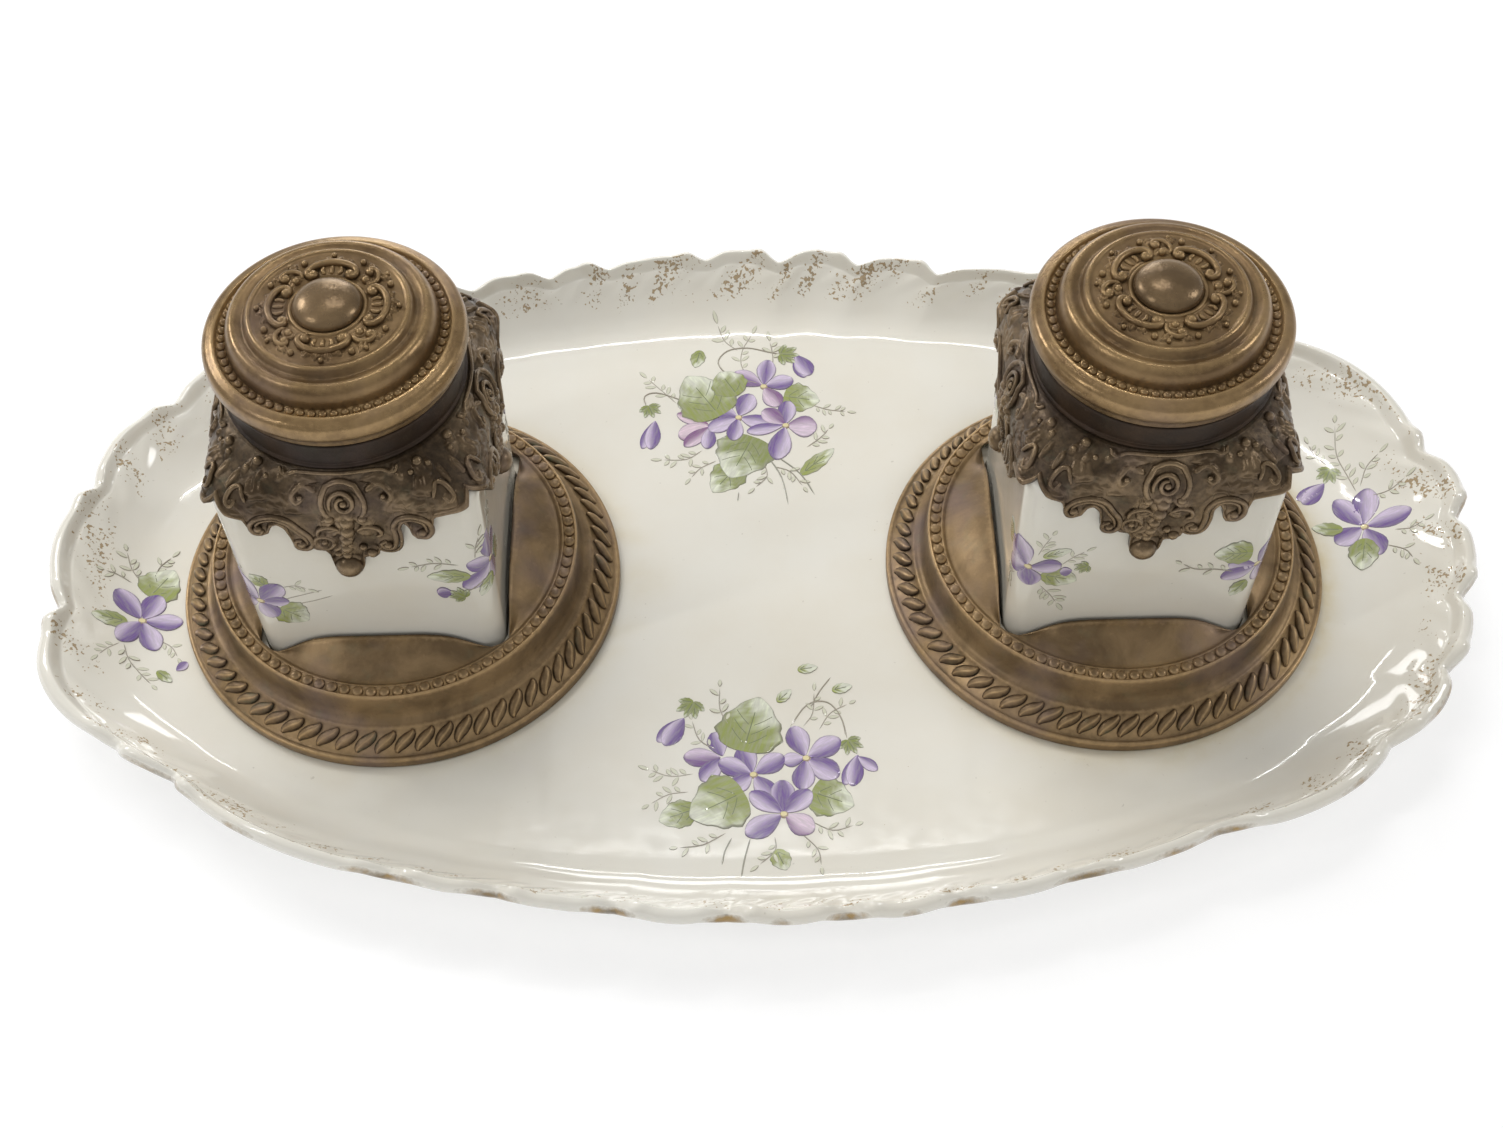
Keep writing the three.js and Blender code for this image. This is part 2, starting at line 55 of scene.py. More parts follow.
saucerLow, saucerHigh = nodeBox("left_saucer")
rightLow, rightHigh = nodeBox("right_saucer")
wellLow, wellHigh = nodeBox("left_well")
neckLow, neckHigh = nodeBox("left_neck_ring")
lidLow = nodeBox("left_lid")[0]
buttonHigh = nodeBox("left_lid_button")[1]
trayLow, trayHigh = nodeBox("tray")

saucerRadius = (saucerHigh[0] - saucerLow[0]) / 2
saucerFoot = saucerLow[2]
saucerMiddle = {
    "left": (saucerLow + saucerHigh)[:2] / 2,
    "right": (rightLow + rightHigh)[:2] / 2,
}
stackMiddle = {side: sum(nodeBox(side + "_well"))[:2] / 2 for side in sides}
pitch = saucerMiddle["right"][0] - saucerMiddle["left"][0]


def addObject(name, data):
    made = bpy.data.objects.new(name, data)
    bpy.context.scene.collection.objects.link(made)
    return made


# Camera, at the photograph's viewing angle

cameraView = {
    "lens": 47.26,
    "shiftUp": 0.0905,
    "place": (-0.00281, -0.2380, 0.33135),
    "lookDown": 1.001,
    "roll": -0.022,
}


def makeCamera(settings):
    data = bpy.data.cameras.new("photoCamera")
    data.lens = settings["lens"]
    data.sensor_width = 36
    data.shift_y = settings["shiftUp"]
    data.clip_start = 0.01
    camera = addObject("photoCamera", data)
    down = settings["lookDown"]
    ahead = Vector((0, math.cos(down), -math.sin(down)))
    level = Vector((1, 0, 0))
    upward = Vector((0, math.sin(down), math.cos(down)))
    c, s = math.cos(settings["roll"]), math.sin(settings["roll"])
    right = c * level + s * upward
    up = c * upward - s * level
    axes = Matrix((right, up, -ahead)).transposed().to_4x4()
    camera.matrix_world = Matrix.Translation(settings["place"]) @ axes
    bpy.context.scene.camera = camera


makeCamera(cameraView)
print("camera ready")


# Shader helpers

def tint(red, green, blue):
    # a colour as a paint chart gives it, 0 to 255, in Blender's linear values
    def linear(value):
        value /= 255
        return value / 12.92 if value <= 0.04045 else ((value + 0.055) / 1.055) ** 2.4
    return (linear(red), linear(green), linear(blue), 1)


def feed(tree, node, key, value):
    # an input takes a value or the socket that feeds it
    if isinstance(value, bpy.types.NodeSocket):
        tree.links.new(value, node.inputs[key])
    else:
        node.inputs[key].default_value = value


def put(tree, kind, inputs=None, **settings):
    # adds a node with its settings and inputs
    node = tree.nodes.new(kind)
    for key, value in settings.items():
        setattr(node, key, value)
    for key, value in (inputs or {}).items():
        feed(tree, node, key, value)
    return node


def calc(tree, operation, *values, clamp=False):
    inputs = dict(enumerate(values))
    return put(tree, "ShaderNodeMath", inputs, operation=operation, use_clamp=clamp).outputs[0]


def remap(tree, value, low, high, toLow=0, toHigh=1):
    inputs = {"Value": value, "From Min": low, "From Max": high, "To Min": toLow, "To Max": toHigh}
    return put(tree, "ShaderNodeMapRange", inputs).outputs[0]


def blend(tree, share, first, second, how="MIX"):
    inputs = {0: share, 6: first, 7: second}
    return put(tree, "ShaderNodeMix", inputs, data_type="RGBA", blend_type=how).outputs[2]


def noise(tree, place, scale, detail=3, roughness=0.55, distortion=0):
    inputs = {"Vector": place, "Scale": scale, "Detail": detail, "Roughness": roughness}
    inputs["Distortion"] = distortion
    return put(tree, "ShaderNodeTexNoise", inputs).outputs[0]


def objectPlace(tree):
    return put(tree, "ShaderNodeTexCoord").outputs["Object"]


def attribute(tree, name):
    return put(tree, "ShaderNodeAttribute", attribute_name=name)


def newGroup(name, colours, numbers):
    # a finish with these inputs, which gives a colour, a roughness and a height for the bumps
    group = bpy.data.node_groups.new(name, "ShaderNodeTree")
    for way, labels in (("INPUT", colours + numbers), ("OUTPUT", ["Colour", "Roughness", "Height"])):
        for label in labels:
            kind = "NodeSocketColor" if label in ["Colour"] + colours else "NodeSocketFloat"
            group.interface.new_socket(label, in_out=way, socket_type=kind)
    return group, put(group, "NodeGroupInput").outputs, put(group, "NodeGroupOutput").inputs


def useGroup(tree, group, inputs):
    return put(tree, "ShaderNodeGroup", inputs, node_tree=group).outputs


def newMaterial(name):
    material = bpy.data.materials.new(name)
    material.use_nodes = True
    tree = material.node_tree
    tree.nodes.clear()
    surface = put(tree, "ShaderNodeBsdfPrincipled")
    output = put(tree, "ShaderNodeOutputMaterial", {"Surface": surface.outputs[0]})
    return material, tree, surface, output


def bumpBy(tree, surface, height, depth):
    made = put(tree, "ShaderNodeBump", {"Height": height, "Distance": depth, "Strength": 1})
    feed(tree, surface, "Normal", made.outputs[0])


# Glaze: a clear warm white over porcelain, a little uneven in tone and thickness

def makeGlazeGroup():
    group, given, result = newGroup("glazeTone", [], ["Warmth"])
    place = objectPlace(group)
    broad = remap(group, noise(group, place, 22, 2), 0.35, 0.7)
    cloud = remap(group, noise(group, place, 120, 4), 0.4, 0.75)
    clouded = calc(group, "ADD", calc(group, "MULTIPLY", broad, 0.7), calc(group, "MULTIPLY", cloud, 0.3))
    share = calc(group, "MULTIPLY", clouded, given["Warmth"])
    toned = blend(group, share, tint(226, 223, 213), tint(214, 203, 180))
    pit = remap(group, noise(group, place, 900, 1), 0.78, 0.83)
    pitted = blend(group, calc(group, "MULTIPLY", pit, 0.25), toned, tint(120, 105, 85))
    group.links.new(pitted, result["Colour"])
    group.links.new(remap(group, noise(group, place, 300, 3), 0.3, 0.8, 0.06, 0.16), result["Roughness"])
    ripple = calc(group, "MULTIPLY", noise(group, place, 420, 2), 0.25)
    group.links.new(calc(group, "ADD", noise(group, place, 90, 2), ripple), result["Height"])
    return group


# Aged brass: polished on what stands out, brown and grimy in the hollows, with a little verdigris; the
# relief that steers this also carries painted highlights and painted shade

def makeAgedBrassGroup():
    group, given, result = newGroup("agedBrass", ["Worn", "Aged", "Grime"],
                                    ["Wear and painted light", "Blotch size", "Verdigris", "Bloom", "Polish"])
    place = objectPlace(group)
    scale = calc(group, "DIVIDE", 1000, given["Blotch size"])
    broad = noise(group, place, scale, 5, 0.6, 0.4)
    fine = noise(group, place, calc(group, "MULTIPLY", scale, 9), 4, 0.6)
    uneven = calc(group, "MULTIPLY", calc(group, "SUBTRACT", fine, 0.5), 0.5)
    relief = calc(group, "ADD", given["Wear and painted light"], uneven)
    tone = blend(group, remap(group, broad, 0.38, 0.66), given["Aged"],
                 blend(group, 0.45, given["Aged"], given["Worn"]))
    cloud = remap(group, noise(group, place, calc(group, "MULTIPLY", scale, 0.6), 3), 0.5, 0.68)
    bloom = calc(group, "MULTIPLY", cloud, given["Bloom"])
    # high relief shows the worn colour: rubbed wear, and painted highlight where the mesh's relief was set
    # for it
    tone = blend(group, remap(group, relief, 0.55, 1.0), tone, given["Worn"])
    tone = blend(group, bloom, tone, blend(group, 0.45, tone, tint(124, 110, 116)))
    # low relief takes the grime colour: dirt in the hollows, and painted shade where the mesh's relief was
    # set for it
    tone = blend(group, remap(group, relief, 0.42, 0.0), tone, given["Grime"])
    drift = noise(group, place, calc(group, "MULTIPLY", scale, 2.3), 4)
    green = calc(group, "MULTIPLY", remap(group, drift, 0.56, 0.68), remap(group, relief, 0.6, 0.1))
    tone = blend(group, calc(group, "MULTIPLY", green, given["Verdigris"], clamp=True), tone,
                 tint(112, 128, 104))
    group.links.new(tone, result["Colour"])
    matt = calc(group, "ADD", remap(group, relief, 0, 1, 0.56, 0.34), calc(group, "MULTIPLY", broad, 0.12))
    rough = calc(group, "SUBTRACT", matt, calc(group, "MULTIPLY", given["Polish"], 0.26))
    dulled = calc(group, "ADD", rough, calc(group, "MULTIPLY", bloom, 0.14))
    group.links.new(dulled, result["Roughness"])
    group.links.new(calc(group, "ADD", fine, calc(group, "MULTIPLY", broad, 0.6)), result["Height"])
    return group


glazeTone = makeGlazeGroup()
agedBrass = makeAgedBrassGroup()
bumpDepth = {"brass": 0.00006, "glaze": 0.00005, "plaster": 0.0002}  # in metres, as a Bump node takes it


def makeBrass(name, worn, aged, grime, blotch, verdigris, bloom=0.4, polish=0.5, relief=None,
              metallic=0.62):
    # blotch is in mm; a finish without a relief of its own reads the mesh's relief, which carries wear and
    # painted light
    material, tree, surface, _ = newMaterial(name)
    given = {
        "Worn": tint(*worn), "Aged": tint(*aged), "Grime": tint(*grime), "Blotch size": blotch,
        "Verdigris": verdigris, "Bloom": bloom, "Polish": polish,
        "Wear and painted light": attribute(tree, "relief").outputs["Fac"] if relief is None else relief,
    }
    made = useGroup(tree, agedBrass, given)
    feed(tree, surface, "Base Color", made["Colour"])
    feed(tree, surface, "Roughness", made["Roughness"])
    feed(tree, surface, "Metallic", metallic)
    bumpBy(tree, surface, made["Height"], bumpDepth["brass"])
    return material


def makePorcelain(name, warmth):
    material, tree, surface, _ = newMaterial(name)
    made = useGroup(tree, glazeTone, {"Warmth": warmth})
    feed(tree, surface, "Base Color", made["Colour"])
    feed(tree, surface, "Roughness", made["Roughness"])
    feed(tree, surface, "Coat Weight", 0.6)
    feed(tree, surface, "Coat Roughness", 0.03)
    bumpBy(tree, surface, made["Height"], bumpDepth["glaze"])
    return material, tree, surface, made["Colour"]


def makeTrayPorcelain():
    # the glaze with speckled gilding, gold smudges on the lip and a stain round the saucers
    material, tree, surface, glaze = makePorcelain("trayPorcelain", 0.35)
    place = objectPlace(tree)
    gilt = attribute(tree, "gilt").outputs["Fac"]
    flecks = noise(tree, place, 1350, 2, 0.5)
    drifts = noise(tree, place, 300, 3, 0.6)
    level = calc(tree, "ADD", calc(tree, "MULTIPLY", flecks, 0.72), calc(tree, "MULTIPLY", drifts, 0.28))
    edge = remap(tree, gilt, 0, 1, 0.72, 0.51)
    speck = remap(tree, calc(tree, "SUBTRACT", level, edge), 0, 0.03)
    lip = attribute(tree, "lip").outputs["Fac"]
    broken = calc(tree, "MULTIPLY", calc(tree, "SUBTRACT", drifts, 0.5), 1.2)
    patchy = calc(tree, "MULTIPLY", calc(tree, "ADD", lip, broken), remap(tree, lip, 0.1, 0.35))
    smear = remap(tree, patchy, 0.3, 0.9)
    gold = calc(tree, "MAXIMUM", calc(tree, "MULTIPLY", speck, 0.85), smear)
    stain = attribute(tree, "stain").outputs["Fac"]
    stainShare = calc(tree, "MULTIPLY", stain, remap(tree, drifts, 0.3, 0.7, 0.5, 1))
    stained = blend(tree, stainShare, glaze, tint(206, 188, 140))
    goldTone = blend(tree, remap(tree, flecks, 0.4, 0.62), tint(92, 76, 52), tint(156, 130, 86))
    smearTone = blend(tree, remap(tree, drifts, 0.38, 0.6), tint(80, 66, 42), tint(150, 122, 70))
    goldTone = blend(tree, smear, goldTone, smearTone)
    feed(tree, surface, "Base Color", blend(tree, gold, stained, goldTone))
    feed(tree, surface, "Metallic", calc(tree, "MULTIPLY", smear, 0.7))
    return material


def makePaintedDecoration():
    # enamel colours fired on the glaze: the mesh carries the ink and how well it covers
    material, tree, surface, glaze = makePorcelain("paintedDecoration", 0.35)
    ink = attribute(tree, "ink")
    streak = put(tree, "ShaderNodeUVMap").outputs[0]
    stretched = put(tree, "ShaderNodeMapping", {"Vector": streak, "Scale": (1.6, 9, 1)}).outputs[0]
    brush = noise(tree, stretched, 1.2, 4, 0.6)
    deep = blend(tree, 0.5, ink.outputs["Color"], tint(150, 146, 160), "MULTIPLY")
    washed = blend(tree, remap(tree, brush, 0.36, 0.66), deep, ink.outputs["Color"])
    cover = calc(tree, "MULTIPLY", ink.outputs["Alpha"], remap(tree, brush, 0.25, 0.6, 0.72, 1))
    feed(tree, surface, "Base Color", blend(tree, cover, glaze, washed))
    return material


def makePlaster():
    material, tree, surface, _ = newMaterial("pouredPlaster")
    place = objectPlace(tree)
    grain = noise(tree, place, 700, 5, 0.6)
    feed(tree, surface, "Base Color", blend(tree, grain, tint(196, 188, 170), tint(222, 214, 198)))
    feed(tree, surface, "Roughness", 0.95)
    bumpBy(tree, surface, grain, bumpDepth["plaster"])
    return material


trayPorcelain = makeTrayPorcelain()
wellPorcelain = makePorcelain("wellPorcelain", 0.5)[0]
linerPorcelain = makePorcelain("linerPorcelain", 0.5)[0]
paintedDecoration = makePaintedDecoration()
saucerBrass = makeBrass("saucerBrass", worn=(192, 161, 118), aged=(114, 93, 66), grime=(50, 39, 28),
                        blotch=11, verdigris=0.35, bloom=0.9, polish=0.4)
hoodBrass = makeBrass("hoodBrass", worn=(164, 140, 108), aged=(80, 64, 45), grime=(30, 23, 17),
                      blotch=7, verdigris=0.12, polish=0.75)
lidBrass = makeBrass("lidBrass", worn=(178, 148, 104), aged=(108, 85, 56), grime=(38, 29, 21),
                     blotch=12, verdigris=0.03, bloom=0.45, polish=0.72)
neckBrass = makeBrass("neckBrass", worn=(76, 54, 33), aged=(41, 29, 18), grime=(18, 14, 10),
                      blotch=10, verdigris=0.1, bloom=0.3, polish=0.1, relief=0.42, metallic=0.45)
buttonBrass = makeBrass("buttonBrass", worn=(172, 144, 106), aged=(108, 88, 63), grime=(42, 33, 24),
                        blotch=12, verdigris=0.03, polish=0.95)
hingeBrass = makeBrass("hingeBrass", worn=(150, 122, 82), aged=(92, 72, 50), grime=(40, 32, 24),
                       blotch=5, verdigris=0.1, relief=0.5)
liningBrass = makeBrass("liningBrass", worn=(168, 140, 96), aged=(128, 104, 70), grime=(60, 48, 34),
                        blotch=10, verdigris=0.05, relief=0.5)
plaster = makePlaster()
print("materials ready")


# Mesh helpers: a skin is a grid of points in mm with its faces and its values per point

def skin(rows, wrapRows=False, **values):
    # columns close into rings, and a row whose points all meet becomes one point
    rows = np.asarray(rows, float)
    count = rows.shape[0] * rows.shape[1]
    index = np.arange(count).reshape(rows.shape[:2])
    for line in range(len(rows)):
        if np.ptp(rows[line], axis=0).max() < 1e-6:
            index[line] = index[line, 0]
    near = index if wrapRows else index[:-1]
    far = np.roll(index, -1, 0) if wrapRows else index[1:]
    corners = [near, np.roll(near, -1, 1), np.roll(far, -1, 1), far]
    quads = np.stack(corners, -1).reshape(-1, 4)
    used = np.unique(quads)
    place = np.zeros(count, int)
    place[used] = np.arange(len(used))
    faces = [tuple(dict.fromkeys(quad)) for quad in place[quads].tolist()]
    kept = {key: np.asarray(value, float).reshape(count, -1)[used] for key, value in values.items()}
    return {"points": rows.reshape(-1, 3)[used], "faces": [f for f in faces if len(f) > 2], "values": kept}


def joined(skins):
    points, faces, start = [], [], 0
    for part in skins:
        points.append(part["points"])
        faces += [tuple(i + start for i in face) for face in part["faces"]]
        start += len(part["points"])
    values = {key: np.concatenate([part["values"][key] for part in skins]) for key in skins[0]["values"]}
    return {"points": np.concatenate(points), "faces": faces, "values": values}


def outwards(part):
    # a closed skin with its faces turned out
    points = part["points"] - part["points"].mean(0)
    volume = 0
    for size in (3, 4):
        picked = np.array([face for face in part["faces"] if len(face) == size])
        if len(picked):
            a, b, c = points[picked[:, 0]], points[picked[:, 1]], points[picked[:, 2]]
            volume += np.einsum("ij,ij->", a, np.cross(b, c))
            if size == 4:
                volume += np.einsum("ij,ij->", a, np.cross(c, points[picked[:, 3]]))
    if volume < 0:
        part["faces"] = [face[::-1] for face in part["faces"]]
    return part


def makeMesh(name, part):
    mesh = bpy.data.meshes.new(name)
    mesh.from_pydata((part["points"] * mm).tolist(), [], part["faces"])
    mesh.polygons.foreach_set("use_smooth", [True] * len(mesh.polygons))
    if "ink" in part["values"]:
        mesh.set_sharp_from_angle(angle=math.radians(50))
    for key, value in part["values"].items():
        if key == "uv":
            corner = np.zeros(len(mesh.loops), int)
            mesh.loops.foreach_get("vertex_index", corner)
            mesh.uv_layers.new(name="UVMap").data.foreach_set("uv", value[corner].ravel())
        elif value.shape[1] == 4:
            mesh.attributes.new(key, "FLOAT_COLOR", "POINT").data.foreach_set("color", value.ravel())
        else:
            mesh.attributes.new(key, "FLOAT", "POINT").data.foreach_set("value", value.ravel())
    return mesh


def makePiece(name, part, material, body, slotName, *nodes):
    mesh = makeMesh(name, part)
    mesh.materials.append(material)
    piece = addObject(name, mesh)
    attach(piece, body)
    if nodes:
        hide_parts(*nodes)


def rounded(points, times=3, closed=False):
    # a line with its corners cut; a point given twice keeps a tighter corner
    line = np.asarray(points, float)
    for _ in range(times):
        after = np.roll(line, -1, 0) if closed else line[1:]
        before = line if closed else line[:-1]
        cut = np.stack([before * 0.75 + after * 0.25, before * 0.25 + after * 0.75], 1)
        cut = cut.reshape(-1, line.shape[1])
        line = cut if closed else np.vstack([line[:1], cut, line[-1:]])
    return line


def through(points, steps=8):
    # a smooth line through points
    line = np.asarray(points, float)
    ends = np.vstack([2 * line[0] - line[1], line, 2 * line[-1] - line[-2]])
    t = np.linspace(0, 1, steps, endpoint=False)[:, None]
    made = []
    for a, b, c, d in zip(ends, ends[1:], ends[2:], ends[3:]):
        bow = (2 * a - 5 * b + 4 * c - d) * t**2 + (3 * b - a - 3 * c + d) * t**3
        made.append(0.5 * (2 * b + (c - a) * t + bow))
    return np.vstack(made + [line[-1:]])


def evenly(line, count):
    length = np.concatenate([[0], np.cumsum(np.linalg.norm(np.diff(line, axis=0), axis=1))])
    at = np.linspace(0, length[-1], count)
    return np.stack([np.interp(at, length, line[:, k]) for k in range(line.shape[1])], 1)


def ringRow(middle, radius, angle, height):
    # points round a middle, in mm; a column of radii and heights gives a row for each
    x = middle[0] + radius * np.cos(angle)
    y = middle[1] + radius * np.sin(angle)
    return np.stack([x, y, np.broadcast_to(height, x.shape)], -1)


def evenAngles(count):
    return np.arange(count) * 2 * math.pi / count


def unit(ways):
    return ways / np.maximum(np.linalg.norm(ways, axis=-1, keepdims=True), 1e-9)


def leftOf(line):
    # the way to the left at each point of a flat line
    ahead = unit(np.gradient(line, axis=0))
    return np.stack([-ahead[:, 1], ahead[:, 0]], 1)


def latheRows(profile, turns, middle):
    return ringRow(middle, profile[:, :1], evenAngles(turns), profile[:, 1:2])


def smoothstep(low, high, value):
    t = np.clip((value - low) / (high - low), 0, 1)
    return t * t * (3 - 2 * t)


def swell(value, middle, reach):
    # 1 at the middle, falling off to both sides
    return np.exp(-(((value - middle) / reach) ** 2))


# Rods and balls: crisp forms laid on a surface

def rod(path, radii, outward, sides=8):
    # a tapered rod along points in space, with a painted highlight on its outward side and painted shade on
    # its underside
    tangent = unit(np.gradient(path, axis=0))
    across = unit(np.cross(tangent, outward))
    up = np.cross(across, tangent)
    turn = evenAngles(sides)
    ring = np.cos(turn)[:, None] * across[:, None] + np.sin(turn)[:, None] * up[:, None]
    rows = path[:, None] + ring * np.asarray(radii)[:, None, None]
    start = np.tile(path[0] - tangent[0] * radii[0] * 0.7, (1, sides, 1))
    end = np.tile(path[-1] + tangent[-1] * radii[-1] * 0.7, (1, sides, 1))
    rows = np.concatenate([start, rows, end])
    # relief highest on the outward side as painted highlight, lowest beneath as painted shade
    relief = np.tile(0.3 + 0.42 * np.clip(np.sin(turn), 0, 1), (len(rows), 1))
    return outwards(skin(rows, relief=relief))


def ball(middle, radius, outward, flatten=1.0, sides=14):
    outward = outward / np.linalg.norm(outward)
    first = np.cross(outward, (0.31, 0.52, 0.79))  # any way that isn't the outward one
    first /= np.linalg.norm(first)
    second = np.cross(outward, first)
    turn = evenAngles(sides)
    rows, relief = [], []
    for tilt in np.linspace(-math.pi / 2, math.pi / 2, 9):
        flat = math.cos(tilt) * (np.cos(turn)[:, None] * first + np.sin(turn)[:, None] * second)
        rows.append(middle + radius * (flat + outward * math.sin(tilt) * flatten))
        # relief rises towards the outward crown: painted highlight above, painted shade below
        relief.append(np.full(sides, 0.3 + 0.5 * max(0.0, math.sin(tilt))))
    return outwards(skin(np.array(rows), relief=np.array(relief)))


# Embossing: raised forms on a flat field of sample points, in mm

def lineDistance(samples, line):
    # distance to a line of points, and how far along it the nearest place is, 0 to 1
    best = np.full(len(samples), 1e9)
    where = np.zeros(len(samples))
    step = np.linalg.norm(np.diff(line, axis=0), axis=1)
    total = step.sum()
    start = 0
    for a, b, size in zip(line, line[1:], step):
        if size < 1e-9:
            continue
        t = np.clip((samples - a) @ (b - a) / size**2, 0, 1)
        gap = np.linalg.norm(samples - a - t[:, None] * (b - a), axis=1)
        closer = gap < best
        best[closer] = gap[closer]
        where[closer] = (start + t[closer] * size) / total
        start += size
    return best, where


def raiseRidge(field, samples, line, width, height, taper):
    # a rounded ridge along a line, thinner at its ends
    line = np.asarray(line, float)
    low, high = line.min(0) - width, line.max(0) + width
    near = np.all((samples > low) & (samples < high), axis=1)
    if not near.any():
        return
    gap, where = lineDistance(samples[near], line)
    half = width / 2 * (1 - taper * np.abs(2 * where - 1) ** 2)
    across = np.clip(1 - (gap / half) ** 2, 0, 1)
    field[near] = np.maximum(field[near], height * np.sqrt(across))


def raiseBoss(field, samples, middle, radius, height, dish=0.0):
    gap = np.linalg.norm(samples - np.asarray(middle, float), axis=1) / radius
    rise = height * np.sqrt(np.clip(1 - gap**2, 0, 1)) - dish * height * swell(gap, 0, 0.45)
    np.maximum(field, np.where(gap < 1, rise, 0), out=field)


def raiseLeaf(field, samples, root, tip, width, height, ribs=0):
    # a leaf or feather from root to tip, with a hollow midrib and rounded lobes
    root, tip = np.asarray(root, float), np.asarray(tip, float)
    axis = tip - root
    length = np.linalg.norm(axis)
    along = (samples - root) @ axis / length**2
    across = (samples - root) @ np.array([-axis[1], axis[0]]) / length
    shape = np.sin(np.pi * np.clip(along, 0, 1) ** 0.8)
    lobes = 0.16 * np.sin(along * ribs * 2 * np.pi) if ribs else 0
    half = np.maximum(width / 2 * shape * (1 + lobes), 1e-6)
    inside = (along > 0) & (along < 1) & (np.abs(across) < half)
    rise = height * np.sqrt(np.clip(1 - (across / half) ** 2, 0, 1)) * (0.55 + 0.45 * shape)
    rise *= 1 - 0.35 * swell(across, 0, 0.13 * width)
    if ribs:
        rise *= 1 + 0.22 * np.sin((along * ribs - np.abs(across) / width * 2.2) * 2 * np.pi)
    np.maximum(field, np.where(inside, rise, 0), out=field)


# Geometry Nodes: one tree sets copies of a template in a ring, such as beads and rope lobes

def makeRingTree():
    tree = bpy.data.node_groups.new("ornamentRing", "GeometryNodeTree")
    face = tree.interface
    face.new_socket("Geometry", in_out="INPUT", socket_type="NodeSocketGeometry")
    for label, kind in (
        ("Template", "NodeSocketObject"), ("Count", "NodeSocketInt"), ("Radius", "NodeSocketFloat"),
        ("Centre", "NodeSocketVector"), ("Tilt", "NodeSocketFloat"), ("Size spread", "NodeSocketFloat"),
        ("Seed", "NodeSocketInt"), ("Material", "NodeSocketMaterial"),
    ):
        face.new_socket(label, in_out="INPUT", socket_type=kind)
    face.new_socket("Geometry", in_out="OUTPUT", socket_type="NodeSocketGeometry")
    given = put(tree, "NodeGroupInput").outputs
    ring = put(tree, "GeometryNodeMeshCircle", {"Vertices": given["Count"], "Radius": given["Radius"]})
    template = put(tree, "GeometryNodeObjectInfo", {"Object": given["Template"]})
    spot = put(tree, "ShaderNodeSeparateXYZ", {0: put(tree, "GeometryNodeInputPosition").outputs[0]})
    angle = calc(tree, "ARCTAN2", spot.outputs[1], spot.outputs[0])
    facing = put(tree, "ShaderNodeCombineXYZ", {"Y": given["Tilt"], "Z": angle})
    low, high = (calc(tree, how, 1, given["Size spread"]) for how in ("SUBTRACT", "ADD"))
    size = put(tree, "FunctionNodeRandomValue", {2: low, 3: high, "Seed": given["Seed"]}, data_type="FLOAT")
    placed = put(tree, "GeometryNodeInstanceOnPoints", {
        "Points": ring.outputs[0], "Instance": template.outputs["Geometry"],
        "Rotation": facing.outputs[0], "Scale": size.outputs[1],
    })
    moved = put(tree, "GeometryNodeTransform", {
        "Geometry": placed.outputs[0], "Translation": given["Centre"],
    })
    solid = put(tree, "GeometryNodeRealizeInstances", {"Geometry": moved.outputs[0]})
    coated = put(tree, "GeometryNodeSetMaterial", {
        "Geometry": solid.outputs[0], "Material": given["Material"],
    })
    put(tree, "NodeGroupOutput", {"Geometry": coated.outputs[0]})
    return tree


ringTree = makeRingTree()


def templateObject(name, part):
    return addObject(name, makeMesh(name, part))


def ringOf(name, template, material, body, count, radius, middle, height, tilt=0.0):
    holder = addObject(name + "Maker", bpy.data.meshes.new(name + "Maker"))
    modifier = holder.modifiers.new("ring", "NODES")
    modifier.node_group = ringTree
    wanted = {
        "Template": template, "Count": count, "Radius": radius * mm,
        "Centre": (middle[0] * mm, middle[1] * mm, height * mm), "Tilt": tilt,
        "Size spread": 0.03, "Seed": 3, "Material": material,
    }
    for item in ringTree.interface.items_tree:
        if item.in_out == "INPUT" and item.name in wanted:
            modifier[item.identifier] = wanted[item.name]
    bpy.context.view_layer.update()
    shown = holder.evaluated_get(bpy.context.evaluated_depsgraph_get())
    mesh = bpy.data.meshes.new_from_object(shown)
    mesh.name = name
    bpy.data.objects.remove(holder)
    piece = addObject(name, mesh)
    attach(piece, body)


def beadTemplate(name, radius, squash):
    # a domed bead with painted shade at its foot, a painted bright ring part way up its flank and a softer
    # crown
    share = np.array([1.0, 0.97, 0.86, 0.66, 0.4, 0.0])
    height = squash * radius * np.sqrt(np.clip(1 - share**2, 0, 1))
    profile = np.stack([share * radius, height], 1)
    profile = np.vstack([[[0, -0.35 * radius]], [[radius, -0.35 * radius]], profile])
    rows = latheRows(profile, 10, (0, 0))
    # relief by row from the underside to the crown: painted shade at the foot, painted highlight ring on
    # the flank
    relief = np.repeat(np.array([0, 0.05, 0.3, 0.65, 0.8, 0.65, 0.5, 0.45]), 10)
    return templateObject(name, outwards(skin(rows, relief=relief)))


# Tray

